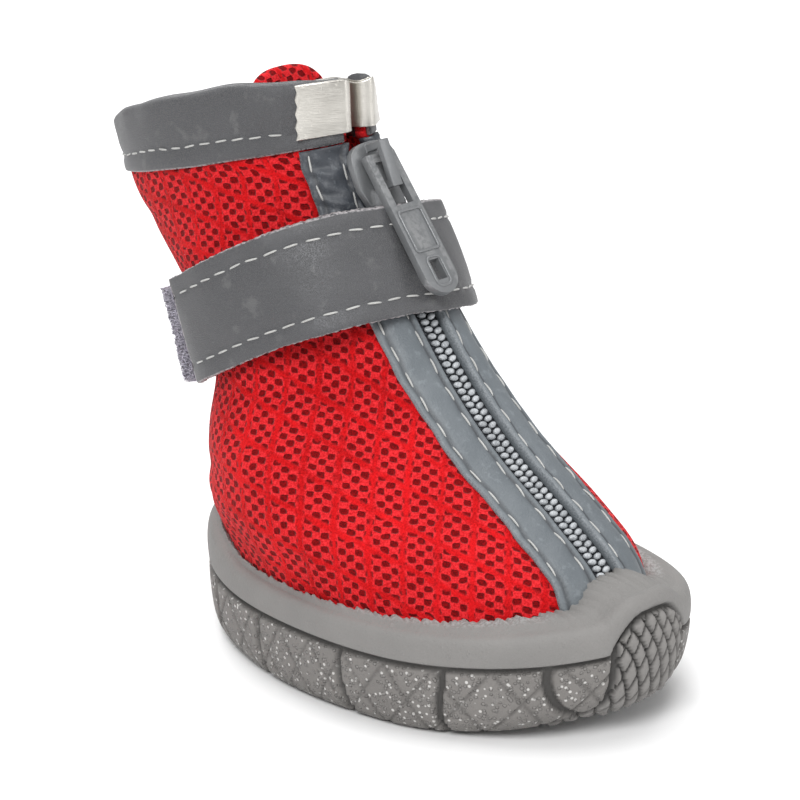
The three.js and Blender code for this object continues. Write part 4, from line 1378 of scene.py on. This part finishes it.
def round_outline(half, top, bottom, radius, steps=6):
    """A rectangle with round corners, its sides cut into short runs."""
    corners = [(half, top, 0), (half, bottom, 1), (-half, bottom, 2), (-half, top, 3)]
    outline = []
    for x_end, y_end, quarter in corners:
        cx = x_end - math.copysign(radius, x_end)
        cy = y_end + (radius if quarter in (0, 3) else -radius)
        start = {0: -math.pi / 2, 1: 0, 2: math.pi / 2, 3: math.pi}[quarter]
        for w in np.linspace(start, start + math.pi / 2, steps):
            outline.append((cx + radius * math.cos(w), cy + radius * math.sin(w)))
    return outline


rims = []
for face in (1, -1):
    rims.append(rim_of(round_outline(2.35, 9.3, 16.2, 0.5), face))
    rims.append(rim_of(round_outline(1.45, 17.4, 22.3, 0.9), face, 0.5, 0.25))
piece_from("pull_rims", joined(rims), paint, "painted_metal", body=PULL)


# ---------- strap ----------
# A band of gray reflective fabric over a hook fastener. It is sewn on at the left of the heel,
# goes round the front over the zip, and its cut end closes on the loop tape at the right.

STRAP_LOW = np.array([1.2, 55.8, 46.2, 36.8, 23.2])  # front y and z, back y and z, half width
STRAP_HIGH = np.array([9.7, 71.0, 52.0, 52.3, 22.4])
ARCH_RISE, ARCH_CENTRE, ARCH_REACH = 2.6, -0.87, 1.48
STRAP_FREE_END, STRAP_SEWN_END = -2.0, 2.45
STRAP_WIDTH = 16.8
STRAP_STITCH_INSET = 2.8


def strap_point(height, angle, inwards):
    height, angle, inwards = np.broadcast_arrays(height, angle, inwards)
    value = STRAP_LOW + (STRAP_HIGH - STRAP_LOW) * height[..., None]
    front_y, front_z, back_y, back_z, half = np.moveaxis(value, -1, 0)
    from_arch = np.arctan2(np.sin(angle - ARCH_CENTRE), np.cos(angle - ARCH_CENTRE))
    fade = np.clip(np.abs(from_arch) / ARCH_REACH, 0, 1)
    arch = ARCH_RISE * np.cos(fade * np.pi / 2) ** 2
    back = (1 - np.cos(angle)) / 2
    half_length = (back_y - front_y) / 2 - inwards
    return np.stack([
        (half - inwards) * np.sin(angle),
        (back_y + front_y) / 2 - half_length * np.cos(angle),
        front_z + (back_z - front_z) * back + arch,
    ], -1)


# share of the strap's width, and depth below its outer face
STRAP_SECTION = np.array([
    (0.0, 0.55), (0.0, 0.22), (0.012, 0.10), (0.05, 0.05), (0.12, 0.02), (0.155, 0.20),
    (0.185, 0.20), (0.22, 0.02), (0.35, -0.10), (0.5, -0.14), (0.65, -0.10), (0.78, 0.02),
    (0.815, 0.20), (0.845, 0.20), (0.88, 0.02), (0.95, 0.05), (0.988, 0.10), (1.0, 0.22),
    (1.0, 0.55), (1.0, 1.15), (0.97, 1.3), (0.5, 1.32), (0.03, 1.3), (0.0, 1.15),
])
STRAP_STATIONS = 420
strap_angles = np.linspace(STRAP_FREE_END, STRAP_SEWN_END, STRAP_STATIONS)


def strap_wave(height, angle):
    """Small waves along the strap, and its corners curling at the cut end."""
    ends = smooth_step(STRAP_FREE_END, STRAP_FREE_END + 0.25, angle)
    wave = 0.20 * np.sin(angle * 6.1 + height * 2) + 0.12 * np.sin(angle * 13.7 + height * 4 + 1)
    edges = (2 * height - 1) ** 2
    curl = 0.5 * (1 - ends) * edges
    return -(wave * (0.35 + edges) + curl * 0.3)


strap_heights = np.broadcast_to(STRAP_SECTION[None, :, 0], (STRAP_STATIONS, len(STRAP_SECTION)))
strap_turns = np.broadcast_to(strap_angles[:, None], strap_heights.shape)
frayed = 0.003 * np.sin(strap_turns * 53 + 3 * np.sin(strap_turns * 9))
frayed = frayed + 0.003 * np.sin(strap_turns * 131)
at_edge = (np.abs(strap_heights - 0.5) > 0.49) * 1.0
shown_heights = strap_heights + frayed * at_edge * np.sign(strap_heights - 0.5)
strap_depths = STRAP_SECTION[None, :, 1] + strap_wave(strap_heights, strap_turns)
strap_sections = strap_point(shown_heights, strap_turns, strap_depths)
cut_share = 1 - smooth_step(STRAP_FREE_END, STRAP_FREE_END + 0.02, strap_turns)
strap_edge = np.maximum(at_edge * (STRAP_SECTION[None, :, 1] < 1.2), cut_share)
piece_from(
    "closing_strap", capped(strap_sections), reflective, "reflective_gray", "strap",
    {"edge": ring_values(strap_edge, len(STRAP_SECTION))},
)


def strap_face(height, angle):
    return strap_point(height, angle, 0.0)


strap_stitches = []
for share_at in (STRAP_STITCH_INSET / STRAP_WIDTH, 1 - STRAP_STITCH_INSET / STRAP_WIDTH):
    turns = np.linspace(STRAP_FREE_END + 0.04, STRAP_SEWN_END - 0.02, 900)
    share_line = np.full(900, share_at)
    line = strap_point(share_line, turns, 0.16 + strap_wave(share_line, turns))
    out = outward(strap_face, share_line, turns)
    strap_stitches.append(stitch_row(line, out, 3.4, 2.3, int(share_at * 100)))
down = np.linspace(0.16, 0.84, 200)
sewn_turns = np.full(200, STRAP_SEWN_END - 0.09)
sewn_line = strap_point(down, sewn_turns, strap_wave(down, sewn_turns))
sewn_out = outward(strap_face, down, sewn_turns)
strap_stitches.append(stitch_row(sewn_line, sewn_out, 3.0, 2.1, 9))
piece_from("strap_stitches", joined(strap_stitches), thread, "thread")


# ---------- loop tape ----------
# The soft side of the touch fastener, lilac gray. It carries on from the strap's sewn end,
# goes round the heel and tucks under the strap's cut end, where its loops show as fuzz.

TAPE_END = 2 * math.pi - 1.45
TAPE_TUCK = 1.7
TAPE_TUCK_FROM = 2 * math.pi + STRAP_FREE_END - 0.35
LOOPS = 6500

tape_turns = np.linspace(STRAP_SEWN_END + 0.02, TAPE_END, 200)
tape_profile = np.array([
    (0.04, 0.35), (0.04, 0.12), (0.06, 0.02), (0.12, 0.0), (0.5, -0.05), (0.88, 0.0), (0.94, 0.02),
    (0.96, 0.12), (0.96, 0.35), (0.96, 0.85), (0.94, 0.98), (0.5, 1.0), (0.06, 0.98), (0.04, 0.85),
])


def tape_depth(turns):
    return np.clip((turns - TAPE_TUCK_FROM) / 0.3, 0, 1) * TAPE_TUCK


def loop_finish(wire):
    spot = wire.place()
    fuzz = wire.noise(spot, 0.4, 4.0, 0.7)
    mottle = wire.noise(spot, 5.0, 3.0)
    shade = (fuzz * 0.7 + mottle * 0.3).rise(0.3, 0.7)
    return {
        "Base Color": shade.blend((0.36, 0.33, 0.42), (0.74, 0.71, 0.80)),
        "Roughness": mottle * 0.1 + 0.85,
        "Normal": wire.bump(fuzz, 0.5),
    }


loop_fabric = finish_of("loop_fabric", loop_finish, Specular_IOR_Level=0.15, Sheen_Weight=0.3)
tape_shares = np.broadcast_to(tape_profile[None, :, 0], (200, len(tape_profile)))
tape_grid = np.broadcast_to(tape_turns[:, None], tape_shares.shape)
tape_sections = strap_point(tape_shares, tape_grid, tape_profile[None, :, 1] + tape_depth(tape_grid))
piece_from("loop_tape", capped(tape_sections), loop_fabric, "loop_tape", "strap_loop_tape")

chance = random.Random(11)
loop_points, loop_faces = [], []
for _ in range(LOOPS):
    turn = chance.uniform(STRAP_SEWN_END + 0.25, 2 * math.pi + STRAP_FREE_END + 0.12)
    share_at = chance.uniform(0.05, 0.95)
    depth = float(tape_depth(np.array(turn)))
    root = strap_point(np.array(share_at), np.array(turn), np.array(depth))
    tip = strap_point(np.array(share_at), np.array(turn), np.array(depth - 1.0))
    out = unit(tip - root)
    stray = np.array([chance.uniform(-1, 1) for _ in range(3)])
    lean_to = unit(np.cross(out, stray))
    tall, wide = chance.uniform(0.4, 1.1), chance.uniform(0.2, 0.5)
    thick = np.cross(out, lean_to) * 0.055
    base = len(loop_points)
    for w in np.linspace(0, math.pi, 6):
        spot = root + lean_to * wide * math.cos(w) + out * (tall * math.sin(w) - 0.05)
        loop_points += [spot - thick, spot + thick, spot + (out * 0.07 + lean_to * 0.03)]
    for k in range(5):
        a = base + 3 * k
        loop_faces += [[a, a + 1, a + 4, a + 3], [a + 1, a + 2, a + 5, a + 4], [a + 2, a, a + 3, a + 5]]
piece_from("tape_loops", (loop_points, loop_faces), loop_fabric, "loop_tape")
